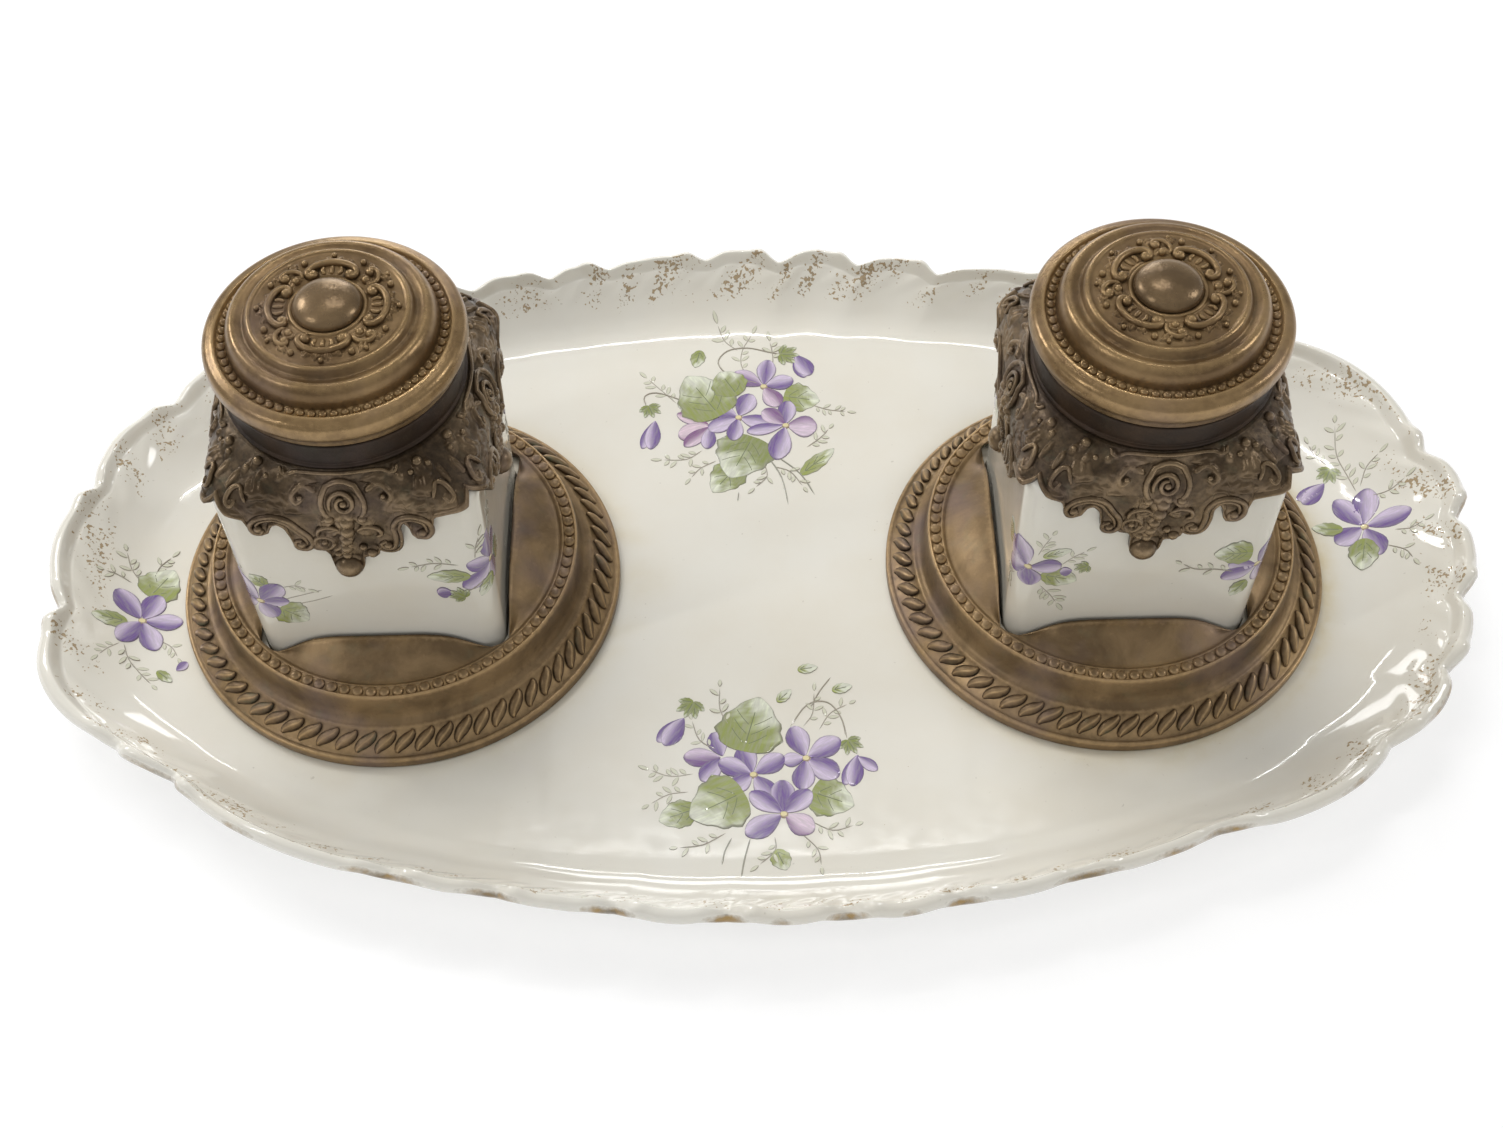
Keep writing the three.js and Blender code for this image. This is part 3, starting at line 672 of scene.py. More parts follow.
tray = {
    "seat": 0.3,  # between a saucer and the floor
    "endMargin": 4.1,
    "sideMargin": 22,
    "endBorder": 22.8,
    "sideBorder": 16.1,
    "rimRise": 12.6,
    "wall": 1.7,
    "floor": 4,
    "footInset": 9,
    "footWidth": 3.2,
    "columns": 720,
    "floorPower": 2.3,  # a little squarer than an ellipse
    "rimPower": 2.06,
    "rimWave": 0.09,  # of the rim's rise, between a notch and the top of a lobe
    # forms round the notches, in mm along the rim
    "foldDepth": 0.95,
    "foldReach": 2.4,
    "ridgePast": 4.4,
    "ridgeReach": 2.3,
    "bulb": 1.0,
    "bulbPast": 3.6,
    "bulbReach": 2.1,
    "dipReach": 2.6,
    "flutes": 96,
    "fluteSlant": 26,
    "fluteDepth": 0.14,
    "stainReach": 3.2,
    "centre": (-1.04, -0.31),
    # shares of the border, from the floor at 0 to the rim at 1
    "borderStart": -0.2,
    "lipStart": 0.78,
    "crest": 0.885,
    "underStart": 0.92,
    "floorRows": 14,
    "gildedLipRows": 10,
    "boxShare": 0.9985,  # of the CAD tray's box, which the rim keeps inside
}
floorTop = saucerFoot - tray["seat"]
floorHalfLength = pitch / 2 + saucerRadius + tray["endMargin"]
floorHalfWidth = saucerRadius + tray["sideMargin"]
rimHalfLength = floorHalfLength + tray["endBorder"]
rimHalfWidth = floorHalfWidth + tray["sideBorder"]
# rim scallops: angle in turns, radius share in the notch, how far the next lobe swells
scallops = np.array([
    (-0.489, 0.985, 0.036), (-0.447, 0.998, 0.006), (-0.433, 0.978, 0.022), (-0.372, 0.985, 0.008),
    (-0.342, 0.977, 0.01), (-0.303, 0.983, 0.015), (-0.264, 0.992, 0.012), (-0.222, 0.996, 0.012),
    (-0.183, 0.99, 0.009), (-0.145, 0.986, 0.01), (-0.106, 0.985, 0.032), (-0.061, 1.01, 0.018),
    (-0.0375, 1.005, 0.012), (-0.0167, 0.992, 0.012), (0.0055, 1.0, 0.02), (0.025, 1.01, 0.042),
    (0.083, 0.998, 0.03), (0.128, 0.985, 0.022), (0.1695, 0.955, 0.03), (0.203, 0.97, 0.036),
    (0.2375, 0.978, 0.028), (0.2695, 0.994, 0.012), (0.311, 0.986, 0.012), (0.334, 0.978, 0.014),
    (0.361, 0.99, 0.026), (0.405, 0.998, 0.034), (0.447, 1.003, 0.017), (0.4765, 0.991, 0.013),
])
# share of the way across the border, share of the rim's rise
borderLine = rounded([
    (tray["borderStart"], 0), (-0.02, 0), (0.28, 0.1), (0.55, 0.38), (0.7, 0.6), (0.785, 0.71),
    (0.81, 0.72), (0.835, 0.79), (0.87, 0.9), (0.905, 0.945), (0.94, 0.95),
], 3)


def ovalRadius(halfLength, halfWidth, power, angle):
    x, y = np.abs(np.cos(angle)) / halfLength, np.abs(np.sin(angle)) / halfWidth
    return (x**power + y**power) ** (-1 / power)


def turnsOf(angle):
    # an angle in turns, -0.5 to 0.5
    return (angle / (2 * math.pi) + 0.5) % 1 - 0.5


def frontShare(angle):
    # 1 along the front of the tray, 0 along its back
    return smoothstep(0.35, -0.2, np.sin(angle))


def notchDistance(rim, part, span):
    # mm along the rim to the nearest notch
    return np.minimum(part, 1 - part) * span * 2 * math.pi * rim


def rimAt(angle):
    # radius of the rim, how high on a lobe this angle lies (0 in a notch), how far along the lobe, and
    # the lobe's width in turns
    turn = turnsOf(angle)
    here = (np.searchsorted(scallops[:, 0], turn, side="right") - 1) % len(scallops)
    after = (here + 1) % len(scallops)
    span = (scallops[after, 0] - scallops[here, 0]) % 1
    part = np.clip(((turn - scallops[here, 0]) % 1) / span, 0, 1)
    lobe = np.sin(math.pi * part) ** (1.3 - 0.3 * frontShare(angle))
    share = scallops[here, 1] * (1 - part) + scallops[after, 1] * part + scallops[here, 2] * lobe
    return ovalRadius(rimHalfLength, rimHalfWidth, tray["rimPower"], angle) * share, lobe, part, span


def floorAt(angle):
    return ovalRadius(floorHalfLength, floorHalfWidth, tray["floorPower"], angle)


def bulbAt(rim, part, span):
    # a puffed place just past each notch
    past = part * span * 2 * math.pi * rim
    return swell(past, tray["bulbPast"], tray["bulbReach"])


def embossAt(angle, out, rim, part, span):
    # soft folds that run in from the notches, and short slanting flutes inside the lip
    toNotch = notchDistance(rim, part, span)
    reach = smoothstep(0.62, 0.97, out)
    front = frontShare(angle)
    ridge = swell(toNotch, tray["ridgePast"], tray["ridgeReach"])
    fold = -swell(toNotch, 0, tray["foldReach"]) + 0.75 * ridge
    wave = np.sin(angle * tray["flutes"] + out * tray["fluteSlant"])
    flutes = wave * smoothstep(0.55, 0.72, out) * smoothstep(0.84, tray["lipStart"], out)
    nearLip = smoothstep(tray["lipStart"], 0.9, out)
    puff = tray["bulb"] * bulbAt(rim, part, span) + 0.2 * np.sin(angle * 37 + 2 * np.sin(angle * 9))
    folded = tray["foldDepth"] * (0.55 + 0.45 * front) * fold * reach
    return folded + tray["fluteDepth"] * flutes + puff * nearLip


def topHeight(angle, out):
    rim, lobe, part, span = rimAt(angle)
    rise = np.interp(out, borderLine[:, 0], borderLine[:, 1])
    lift = 1 + tray["rimWave"] * np.clip(out, 0, 1) * (lobe - 1)
    return floorTop + tray["rimRise"] * rise * lift + embossAt(angle, out, rim, part, span)


def trayPoint(x, y):
    # height of the glaze at places on the tray
    dx, dy = x - tray["centre"][0], y - tray["centre"][1]
    angle, radius = np.arctan2(dy, dx), np.hypot(dx, dy)
    flat = floorAt(angle)
    out = (radius - flat) / (rimAt(angle)[0] - flat)
    return topHeight(angle, out)


# how strongly the border is speckled with gold: angle in turns from, to, inner and outer share, strength
giltBands = [
    (0.165, 0.33, 0.42, 1, 1), (0.05, 0.165, 0.5, 1, 0.9), (-0.03, 0.06, 0.5, 1, 0.95),
    (0.33, 0.44, 0.45, 1, 0.8), (0.44, 0.53, 0.45, 0.98, 0.8), (-0.12, -0.03, 0.5, 0.95, 0.85),
    (-0.28, -0.12, 0.55, 0.95, 0.85), (-0.47, -0.28, 0.5, 0.95, 0.8),
]
# smudges of gold on the lip: angle in turns, half width in turns, strength
lipSmudges = [
    (-0.433, 0.008, 0.9), (-0.41, 0.006, 0.6), (-0.372, 0.009, 1), (-0.342, 0.008, 1),
    (-0.303, 0.008, 1), (-0.264, 0.007, 0.9), (-0.245, 0.004, 0.7), (-0.222, 0.006, 0.9),
    (-0.2, 0.004, 0.6), (-0.183, 0.006, 0.9), (-0.145, 0.008, 1), (-0.12, 0.006, 0.8),
    (-0.106, 0.006, 0.9), (-0.075, 0.006, 0.8), (-0.045, 0.008, 1), (-0.02, 0.007, 0.9),
    (0.0055, 0.008, 1), (0.04, 0.007, 0.9), (0.083, 0.007, 0.9), (0.128, 0.006, 0.9),
    (0.1695, 0.006, 0.8), (0.203, 0.005, 0.7), (0.36, 0.006, 0.8), (0.405, 0.006, 0.8),
    (0.447, 0.007, 0.9), (-0.489, 0.007, 0.9),
]


def makeTray():
    count = tray["columns"]
    angle = evenAngles(count)
    flat = floorAt(angle)
    rim, _, part, span = rimAt(angle)
    rows, outs = [], []

    def addRow(radius, height, out):
        rows.append(ringRow(tray["centre"], radius, angle, height))
        outs.append(out)

    def radiusAt(out):
        return flat + (rim - flat) * out + (wide - rim) * smoothstep(0.8, 1.0, np.float64(out))

    begin, lipStart, crest = tray["borderStart"], tray["lipStart"], tray["crest"]
    front = frontShare(angle)
    dip = 0.45 * front * swell(notchDistance(rim, part, span), 0, tray["dipReach"])
    wide = rim + (0.2 + 0.45 * front) * bulbAt(rim, part, span) - dip
    for share in np.linspace(0, 1, tray["floorRows"]) ** 0.8:  # flat floor
        addRow(radiusAt(begin) * share, floorTop, begin)
    border = np.concatenate([np.linspace(begin, lipStart, 36)[1:], np.linspace(lipStart, crest, 17)[1:]])
    for out in border:
        addRow(radiusAt(out), topHeight(angle, out), out)
    topRows = len(rows)
    # the lip rolls over from its crest to the underside: out, drop in mm
    crestHeight = topHeight(angle, crest)
    thick = tray["wall"] + 1.7
    lastDrop = thick + 0.3
    roll = rounded([(crest, 0), (0.94, 0.3), (0.98, 1.1), (1.0, 2.2), (0.99, 3.1), (0.96, thick),
                    (tray["underStart"], lastDrop)], 2)
    mmPerShare = 20  # across the border, so that the rows of the roll stand evenly
    for out, drop in evenly(roll * (mmPerShare, 1), 14)[1:] / (mmPerShare, 1):
        addRow(radiusAt(out), crestHeight - drop, out)
    for out in np.linspace(tray["underStart"], 0.02, 18)[1:]:  # underside
        settle = smoothstep(0.0, 0.3, out) * tray["wall"]
        settle += smoothstep(0.8, tray["underStart"], out) * (lastDrop - tray["wall"])
        below = topHeight(angle, out) - (tray["floor"] * smoothstep(0.3, 0.0, out) + settle)
        addRow(radiusAt(out), np.maximum(below, floorTop - tray["floor"]), 0.3)
    under = floorTop - tray["floor"]
    foot = flat - tray["footInset"]
    inside = foot - tray["footWidth"]
    for radius, height in (
        (foot + 1.2, under), (foot + 0.25, under - 0.35), (foot, under - 1.2), (foot - 0.25, 0.12),
        (foot - 0.8, 0), (inside + 0.8, 0), (inside + 0.25, 0.12), (inside, under - 1.2),
        (inside - 0.25, under - 0.35), (inside - 1.2, under),
    ):
        addRow(radius, height, 0.0)
    for share in (0.7, 0.4, 0.0):
        addRow((inside - 1.2) * share, under, 0.0)

    points = np.array(rows)
    outs = np.array(outs)[:, None] * np.ones(count)
    number = np.arange(len(rows))[:, None]
    top = number < topRows
    turn = turnsOf(angle)
    gilt = np.zeros(outs.shape)
    for start, end, inner, outer, strength in giltBands:
        place = np.where(turn < start - 0.25, turn + 1, turn)
        band = smoothstep(start - 0.012, start + 0.012, place) * smoothstep(end + 0.012, end - 0.012, place)
        across = smoothstep(inner, inner + 0.14, outs) * smoothstep(outer, outer - 0.05, outs)
        gilt = np.maximum(gilt, strength * band * across)
    wave = 0.66 + 0.4 * np.sin(angle * 47 + 2.5 * np.sin(angle * 13) + outs * 9)
    gilt *= np.clip(wave, 0, 1) * top
    lipTint = np.zeros(outs.shape)
    onLip = smoothstep(0.93, 1.0, outs) * (number < topRows + tray["gildedLipRows"])
    for middle, half, strength in lipSmudges:
        away = (turn - middle + 0.5) % 1 - 0.5
        lipTint = np.maximum(lipTint, strength * swell(away / half, 0, 1.25) * onLip)
    stain = np.zeros(outs.shape)
    for side, strength in (("left", 0.35), ("right", 0.8)):
        dx, dy = points[..., 0] - saucerMiddle[side][0], points[..., 1] - saucerMiddle[side][1]
        gap = np.hypot(dx, dy) - saucerRadius
        lean = 0.55 + 0.45 * np.clip(dx / saucerRadius, -1, 1)
        stain = np.maximum(stain, strength * lean * swell(gap, 0, tray["stainReach"]) * top)
    low, high = trayLow[:2] * tray["boxShare"], trayHigh[:2] * tray["boxShare"]
    points[..., 0] = np.clip(points[..., 0], low[0], high[0])
    points[..., 1] = np.clip(points[..., 1], low[1], high[1])
    points[..., 2] = np.minimum(points[..., 2], trayHigh[2] - 0.02)
    part = outwards(skin(points, gilt=gilt, lip=lipTint, stain=stain))
    makePiece("scalloped_tray", part, trayPorcelain, "tray", "porcelain", "tray")


makeTray()
print("tray ready")


# Saucers

saucer = {
    "height": saucerHigh[2] - saucerLow[2],
    "wall": 0.8,
    "columns": 336,
    "beads": 85,
    "beadRing": 34.6,
    "beadHeight": 12.35,
    "beadRadius": 1.12,
    "beadSquash": 0.62,
    "lobes": 68,
    "lobeRing": 40.75,
    "lobeHeight": 4.15,
    "lobeTilt": math.atan2(3.1, 3.6),  # the slope of the band that carries them
    "openingGap": 0.75,
    "openingShift": 0.5,
    "openingCorner": 1.2,
    "domeRadius": 32.6,  # where the cove inside the beads turns into the dome
    "domeFoot": 12.0,
    "climb": (32.9, 24.8),  # radii between which the dome rises
    "cornerReach": (26.8, 31.5),  # radii of the opening between which its edge sinks
    "cornerDrop": 1.3,
}
well = {
    "foot": wellLow[2],
    "top": wellHigh[2],
    "footHalf": 23.2,
    "bellyHalf": (wellHigh[0] - wellLow[0]) / 2,
    "shoulder": 6.1,  # below the top
    "mouthHalf": 20.0,
    "corner": 4.0,
    "mouthCorner": 14.0,
    "mouthRadius": 16.5,
    "columns": 288,
}
well["belly"] = well["top"] - well["shoulder"]


def squareRadius(half, corner, angle):
    # radius of a rounded square
    c, s = np.abs(np.cos(angle)), np.abs(np.sin(angle))
    reach = np.maximum(c, s)
    inset = half - corner
    along = inset * (c + s)
    bend = along + np.sqrt(np.maximum(along**2 - 2 * inset**2 + corner**2, 0))
    return np.where(half * np.minimum(c, s) / reach <= inset, half / reach, bend)


def crowdedAngles(count):
    # closer together at the corners of a square
    even = evenAngles(count)
    return even + 0.1 * np.sin(4 * even)


def wellSize(height):
    # half width and corner radius of the porcelain at a height
    belly = well["belly"]
    at = [well["foot"], belly, belly + 0.66 * well["shoulder"], well["top"]]
    half = [well["footHalf"], well["bellyHalf"], 0, well["mouthHalf"]]
    half[2] = 0.6 * half[1] + 0.4 * half[3]
    corner = [well["corner"], well["corner"], 0, well["mouthCorner"]]
    corner[2] = 0.6 * corner[1] + 0.4 * corner[3]
    return np.interp(height, at, half), np.interp(height, at, corner)


def makeSaucer(side, way):
    middle = saucerMiddle[side]
    height = saucer["height"]
    count = saucer["columns"]
    # radius, height above the foot, relief; the relief is high on ridges and edges for rubbed wear and for
    # painted highlight lines, such as along the top of the flange
    outline = np.array([
        (43.2, 0, 0.2), (43.9, 0, 0.3), (43.95, 0.5, 0.4), (43.95, 1.55, 0.5), (43.95, 2, 0.75),
        (43.6, 2.3, 0.85), (43.1, 2.3, 0.5), (42.95, 2.25, 0.4), (42.6, 2.45, 0.7), (41.3, 3.45, 0.92),
        (39.9, 4.6, 0.85), (39.1, 5.35, 0.6), (38.8, 5.75, 0.75), (38.5, 6, 0.6), (38, 6.1, 0.45),
        (37.2, 6.6, 0.45), (36.7, 7.7, 0.45), (36.45, 9.2, 0.45), (36.3, 10.9, 0.5), (36.2, 11.9, 0.6),
        (36.1, 12.4, 0.9), (35.85, 12.65, 0.95), (35.6, 12.5, 0.8), (35.5, 12.2, 0.8), (34.6, 12.1, 0.9),
        (33.7, 12.2, 0.8), (33.5, 12.45, 0.6), (33.3, 12.5, 0.75), (33, 12.3, 0.55),
        (saucer["domeRadius"], saucer["domeFoot"], 0.5),
    ])
    line = rounded(outline, 2)
    angle = crowdedAngles(count)
    rows = [ringRow(middle, r, angle, saucerFoot + z) for r, z, _ in line]
    relief = [np.full(count, value) for _, _, value in line]
    half = wellSize(saucerFoot + height)[0] + saucer["openingGap"]
    square = squareRadius(half, saucer["openingCorner"], angle)
    shift = way * saucer["openingShift"]
    target = np.stack([shift + square * np.cos(angle), square * np.sin(angle)], -1)
    start = np.stack([saucer["domeRadius"] * np.cos(angle), saucer["domeRadius"] * np.sin(angle)], -1)
    corner = smoothstep(*saucer["cornerReach"], square)

    def domeRow(share, drop=0.0):
        # from the dome's foot at share 0 to the edge of the square opening at 1
        place = start * (1 - share) + target * share
        radius = np.hypot(place[:, 0] - share * shift, place[:, 1])
        climb = smoothstep(*saucer["climb"], radius)
        sink = saucer["cornerDrop"] * corner * smoothstep(0.3, 1.0, share)
        lip = 0.3 * smoothstep(0.93, 1.0, share) - sink
        z = saucer["domeFoot"] + (height + 0.5 - saucer["domeFoot"]) * climb + lip - drop
        return np.column_stack([middle[0] + place[:, 0], middle[1] + place[:, 1], saucerFoot + z])

    for share in np.linspace(0.08, 1, 16):
        rows.append(domeRow(share))
        rolled = 0.2 * smoothstep(0.8, 0.95, share) - 0.5 * smoothstep(0.95, 1.0, share)
        relief.append(np.full(count, 0.5 + rolled))
    for share in np.linspace(1, 0, 5):
        rows.append(domeRow(share, saucer["wall"]))
        relief.append(np.full(count, 0.1))
    inner = np.array([
        (saucer["domeRadius"], 11.2), (35.4, 11.3), (35.5, 9), (36, 6.9), (37.4, 5.3), (42.2, 1.6),
        (42.6, 0),
    ])
    for r, z in rounded(inner, 2)[1:]:
        rows.append(ringRow(middle, r, angle, saucerFoot + z))
        relief.append(np.full(count, 0.1))
    part = outwards(skin(np.array(rows), wrapRows=True, relief=np.array(relief)))
    body = side + "_inkwell"
    makePiece(side + "_saucer_shell", part, saucerBrass, body, "brown_brass", side + "_saucer")
    ringOf(side + "_saucer_beads", saucerBead, saucerBrass, body, saucer["beads"],
           saucer["beadRing"], middle, saucerFoot + saucer["beadHeight"])
    ringOf(side + "_saucer_rope", ropeLobe, saucerBrass, body, saucer["lobes"],
           saucer["lobeRing"], middle, saucerFoot + saucer["lobeHeight"], tilt=saucer["lobeTilt"])


def makeRopeLobe():
    # one slanting lobe of the rope band, lying across it: x runs outwards, y round the ring
    spots = [(2.15, -1.75), (1.3, -1.45), (0.35, -0.5), (-0.45, 0.55), (-1.3, 1.45), (-2.1, 1.75)]
    spine = evenly(through(spots, 4), 11)
    along = np.linspace(0, 1, len(spine))
    half = 1.22 * np.sin(np.pi * np.clip(along * 0.92 + 0.04, 0, 1)) ** 0.6
    rows, relief = [], []
    ring = np.array([-1, -0.8, -0.4, 0, 0.4, 0.8, 1])
    for place, across, size in zip(spine, leftOf(spine), half):
        top = [(place[0] + across[0] * size * v, place[1] + across[1] * size * v,
                0.78 * size * math.sqrt(max(0, 1 - v * v))) for v in ring]
        low = [(place[0], place[1], -0.5)]
        rows.append(top + low)
        # relief across the lobe: painted shade at its edges and a painted highlight streak down its middle
        relief.append([0.1, 0.14, 0.34, 0.9, 0.45, 0.25, 0.15, 0])
    ends = [np.tile(np.mean(rows[k], 0), (len(ring) + 1, 1)) for k in (0, -1)]
    rows = np.concatenate([[ends[0]], rows, [ends[1]]])
    relief = np.array([[0.1] * 8] + relief + [[0.1] * 8])
    return templateObject("ropeLobe", outwards(skin(rows, relief=relief)))


saucerBead = beadTemplate("saucerBead", saucer["beadRadius"], saucer["beadSquash"])
ropeLobe = makeRopeLobe()
for side, way in sides.items():
    makeSaucer(side, way)
print("saucers ready")


# Porcelain wells

def wellRadius(angle, height, inset=0.0):
    half, corner = wellSize(height)
    return squareRadius(half - inset, np.maximum(corner - inset * 0.4, 0.5), angle)


def makeWell(side):
    middle = stackMiddle[side]
    angle = crowdedAngles(well["columns"])
    belly = well["belly"]
    rows = []

    def addRow(radius, height):
        rows.append(ringRow(middle, radius, angle, height))

    foot, mouth = well["foot"], np.full(len(angle), well["mouthRadius"])
    addRow(wellRadius(angle, foot) - 1.0, foot)
    addRow(wellRadius(angle, foot) - 0.3, foot + 0.2)
    for height in np.linspace(foot + 0.9, belly, 18):
        addRow(wellRadius(angle, height), height)
    for height in np.linspace(belly, well["top"] - 0.3, 9)[1:]:
        addRow(wellRadius(angle, height), height)
    addRow(wellRadius(angle, well["top"]) - 0.6, well["top"])
    addRow(mouth + 0.5, well["top"])
    addRow(mouth, well["top"] - 0.6)
    addRow(mouth, well["top"] - 5.4)
    addRow(wellRadius(angle, belly - 3.6, 3.9), belly - 4.0)
    addRow(wellRadius(angle, foot + 4, 3.8), foot + 5)
    addRow(wellRadius(angle, foot + 4, 5.5), foot + 3.6)
    addRow(np.zeros(len(angle)), foot + 3.6)
    rows.insert(0, np.tile([middle[0], middle[1], foot], (len(angle), 1)))
    part = outwards(skin(np.array(rows)))
    makePiece(side + "_square_well", part, wellPorcelain, side + "_inkwell", "porcelain", side + "_well")


for side in sides:
    makeWell(side)
print("wells ready")


# Painted decoration: thin sheets fired on the glaze, with sunken borders and closed undersides

decor = {"lowest": 0.06, "layers": 90, "layerStep": 0.0018, "sunken": -0.02, "under": -0.16}
inks = {
    "violet": (98, 60, 144), "lavender": (216, 200, 226), "violetLine": (94, 74, 118),
    "plum": (134, 70, 124), "blush": (234, 208, 220),
    "green": (154, 166, 62), "deepGreen": (100, 116, 36), "paleGreen": (228, 232, 210),
    "leafLine": (98, 100, 74), "vein": (92, 104, 62), "twig": (142, 132, 110),
    "eye": (242, 228, 170), "eyeShade": (150, 118, 76),
}
inks = {name: np.array(tint(*value))[:3] for name, value in inks.items()}


def easedShares(count):
    # 0 to 1, closer together near both ends
    return (1 - np.cos(np.linspace(0, np.pi, count))) / 2


def bladeAxes(root, tip):
    # where a petal or leaf starts, its way to the tip, its length and its way to the left
    root, tip = np.array(root, float), np.array(tip, float)
    axis = tip - root
    length = np.linalg.norm(axis)
    return root, axis, length, np.array([-axis[1], axis[0]]) / length


def bladeGrid(root, axis, side, half, u, v):
    # places on it: u runs from root to tip, v from side to side, half is its half width at each u
    half[[0, -1]] = 0
    grid = (root + u[:, None] * axis)[:, None] + side * (half[:, None] * v)[..., None]
    return grid, *np.broadcast_arrays(u[:, None], v)


class Painter:
    # collects the sheets of one body, each a little higher than the one before
    def __init__(self, place):
        self.place = place
        self.sheets = []

    def lay(self, grid, colour, cover, along, across):
        rows, columns = grid.shape[:2]
        turn, step = divmod(len(self.sheets), decor["layers"])
        level = decor["lowest"] + decor["layerStep"] * (step + 0.1 * turn)
        lift = np.full((rows, columns), level)
        lift[:, [0, -1]] = decor["sunken"]
        below = grid[:, -2:0:-2]
        lift = np.hstack([lift, np.full(below.shape[:2], decor["under"])])
        lift[[0, -1]] = decor["sunken"]
        flat = np.concatenate([grid, below], 1)
        points = self.place(flat.reshape(-1, 2), lift.ravel()).reshape(rows, -1, 3)
        ink = np.concatenate([colour, cover[..., None]], -1)
        ink = np.concatenate([ink, ink[:, -2:0:-2]], 1)
        uv = np.stack([along, across], -1)
        uv = np.concatenate([uv, uv[:, -2:0:-2]], 1)
        self.sheets.append(outwards(skin(points, ink=ink, uv=uv)))

    def layPlain(self, grid, ink, cover):
        shape = grid.shape[:2]
        colour = np.broadcast_to(inks[ink], shape + (3,))
        self.lay(grid, colour, np.full(shape, cover), np.zeros(shape), np.zeros(shape))

    def petal(self, root, tip, width, lean=1, pale=0.4, pink=0.0):
        # lean says which side is dark: 1 left of the way to the tip, -1 right, 0 the middle
        root, axis, length, side = bladeAxes(root, tip)
        u, v = easedShares(12), np.array([-1, -0.95, -0.82, -0.45, 0, 0.45, 0.82, 0.95, 1])
        half = width / 2 * np.sin(np.pi * u**1.3) ** 0.62
        grid, u, v = bladeGrid(root, axis, side, half, u, v)
        dark = 0.9 * v * lean if lean else 0.6 - 1.2 * np.abs(v)
        share = smoothstep(0.0, 0.9, pale - dark + 0.35 * (u - 0.5))[..., None]
        deep = inks["violet"] * (1 - pink) + inks["plum"] * pink
        light = inks["lavender"] * (1 - pink) + inks["blush"] * pink
        colour = deep * (1 - share) + light * share
        line = np.maximum(smoothstep(0.84, 0.95, np.abs(v)), smoothstep(0.955, 0.985, u))[..., None]
        colour = colour * (1 - 0.75 * line) + inks["violetLine"] * 0.75 * line
        self.lay(grid, colour, np.full(u.shape, 0.92), u * length / 5, v * half[:, None] / 5)

    def leaf(self, root, tip, width, pale=0.5, lean=0.0, deep=0.4, veins=2, heart=0.0):
        # a pointed or broad leaf from stalk to tip with veins
        root, axis, length, side = bladeAxes(root, tip)
        u, v = easedShares(22), np.array([-1, -0.965, -0.88, -0.65, -0.35, 0, 0.35, 0.65, 0.88, 0.965, 1])
        half = width / 2 * np.sin(np.pi * u ** (0.85 - 0.5 * heart)) ** 0.7 * (1 + 0.06 * np.sin(u * 24))
        grid, u, v = bladeGrid(root, axis, side, half, u, v)
        fingers = 0.2 * np.cos((u * 5 - np.abs(v) * 1.8) * math.pi)
        share = smoothstep(0.34, 0.92, pale + 1.2 * (u - 0.42) + 0.5 * v * lean + fingers)[..., None]
        green = inks["green"] * (1 - deep) + inks["deepGreen"] * deep
        colour = green * (1 - share) + inks["paleGreen"] * share
        line = np.maximum(smoothstep(0.89, 0.965, np.abs(v)), smoothstep(0.97, 0.99, u))[..., None]
        colour = colour * (1 - 0.8 * line) + inks["leafLine"] * 0.8 * line
        self.lay(grid, colour, np.full(u.shape, 0.9), u * length / 9, v * half[:, None] / 9)
        self.line([root + axis * 0.04, root + axis * 0.45, root + axis * 0.8], 0.34, "vein", 0.95)
        for number in range(veins):
            start = 0.12 + 0.5 * number / max(veins, 1)
            for way in (-1, 1):
                bend = root + axis * (start + 0.13) + side * way * width * 0.16
                end = root + axis * (start + 0.28) + side * way * width * 0.3
                self.line([root + axis * start, bend, end], 0.26, "vein", 0.95)

    def line(self, points, width, ink="twig", cover=0.8):
        spine = through(points, 4)
        if len(spine) < 5:
            spine = evenly(spine, 5)
        side = leftOf(spine)
        half = np.full(len(spine), width / 2)
        half[[0, -1]] = 0
        v = np.array([-1, -0.5, 0, 0.5, 1])
        grid = spine[:, None] + side[:, None] * (half[:, None] * v)[..., None]
        self.layPlain(grid, ink, cover)

    def dot(self, middle, radius, ink, cover=1.0):
        middle = np.array(middle, float)
        u = np.linspace(0, np.pi, 9)
        v = np.array([-1, -0.8, 0, 0.8, 1])
        centre = middle + np.stack([-np.cos(u) * radius, np.zeros(9)], 1)
        grid = centre[:, None] + np.array([0, 1]) * (radius * np.sin(u)[:, None] * v)[..., None]
        grid[[0, -1]] = centre[[0, -1]][:, None]
        self.layPlain(grid, ink, cover)

    def violet(self, middle, *petals, eye=0.62):
        # petals are (tip, width, lean, pale, pink)
        middle = np.array(middle, float)
        for tip, *rest in petals:
            self.petal(middle + 0.06 * (np.array(tip) - middle), tip, *rest)
        if eye:
            self.dot(middle + (0.1, -0.12), eye * 1.35, "eyeShade", 0.8)
            self.dot(middle, eye, "eye")

    def bud(self, root, tip, width, calyx, pale=0.3):
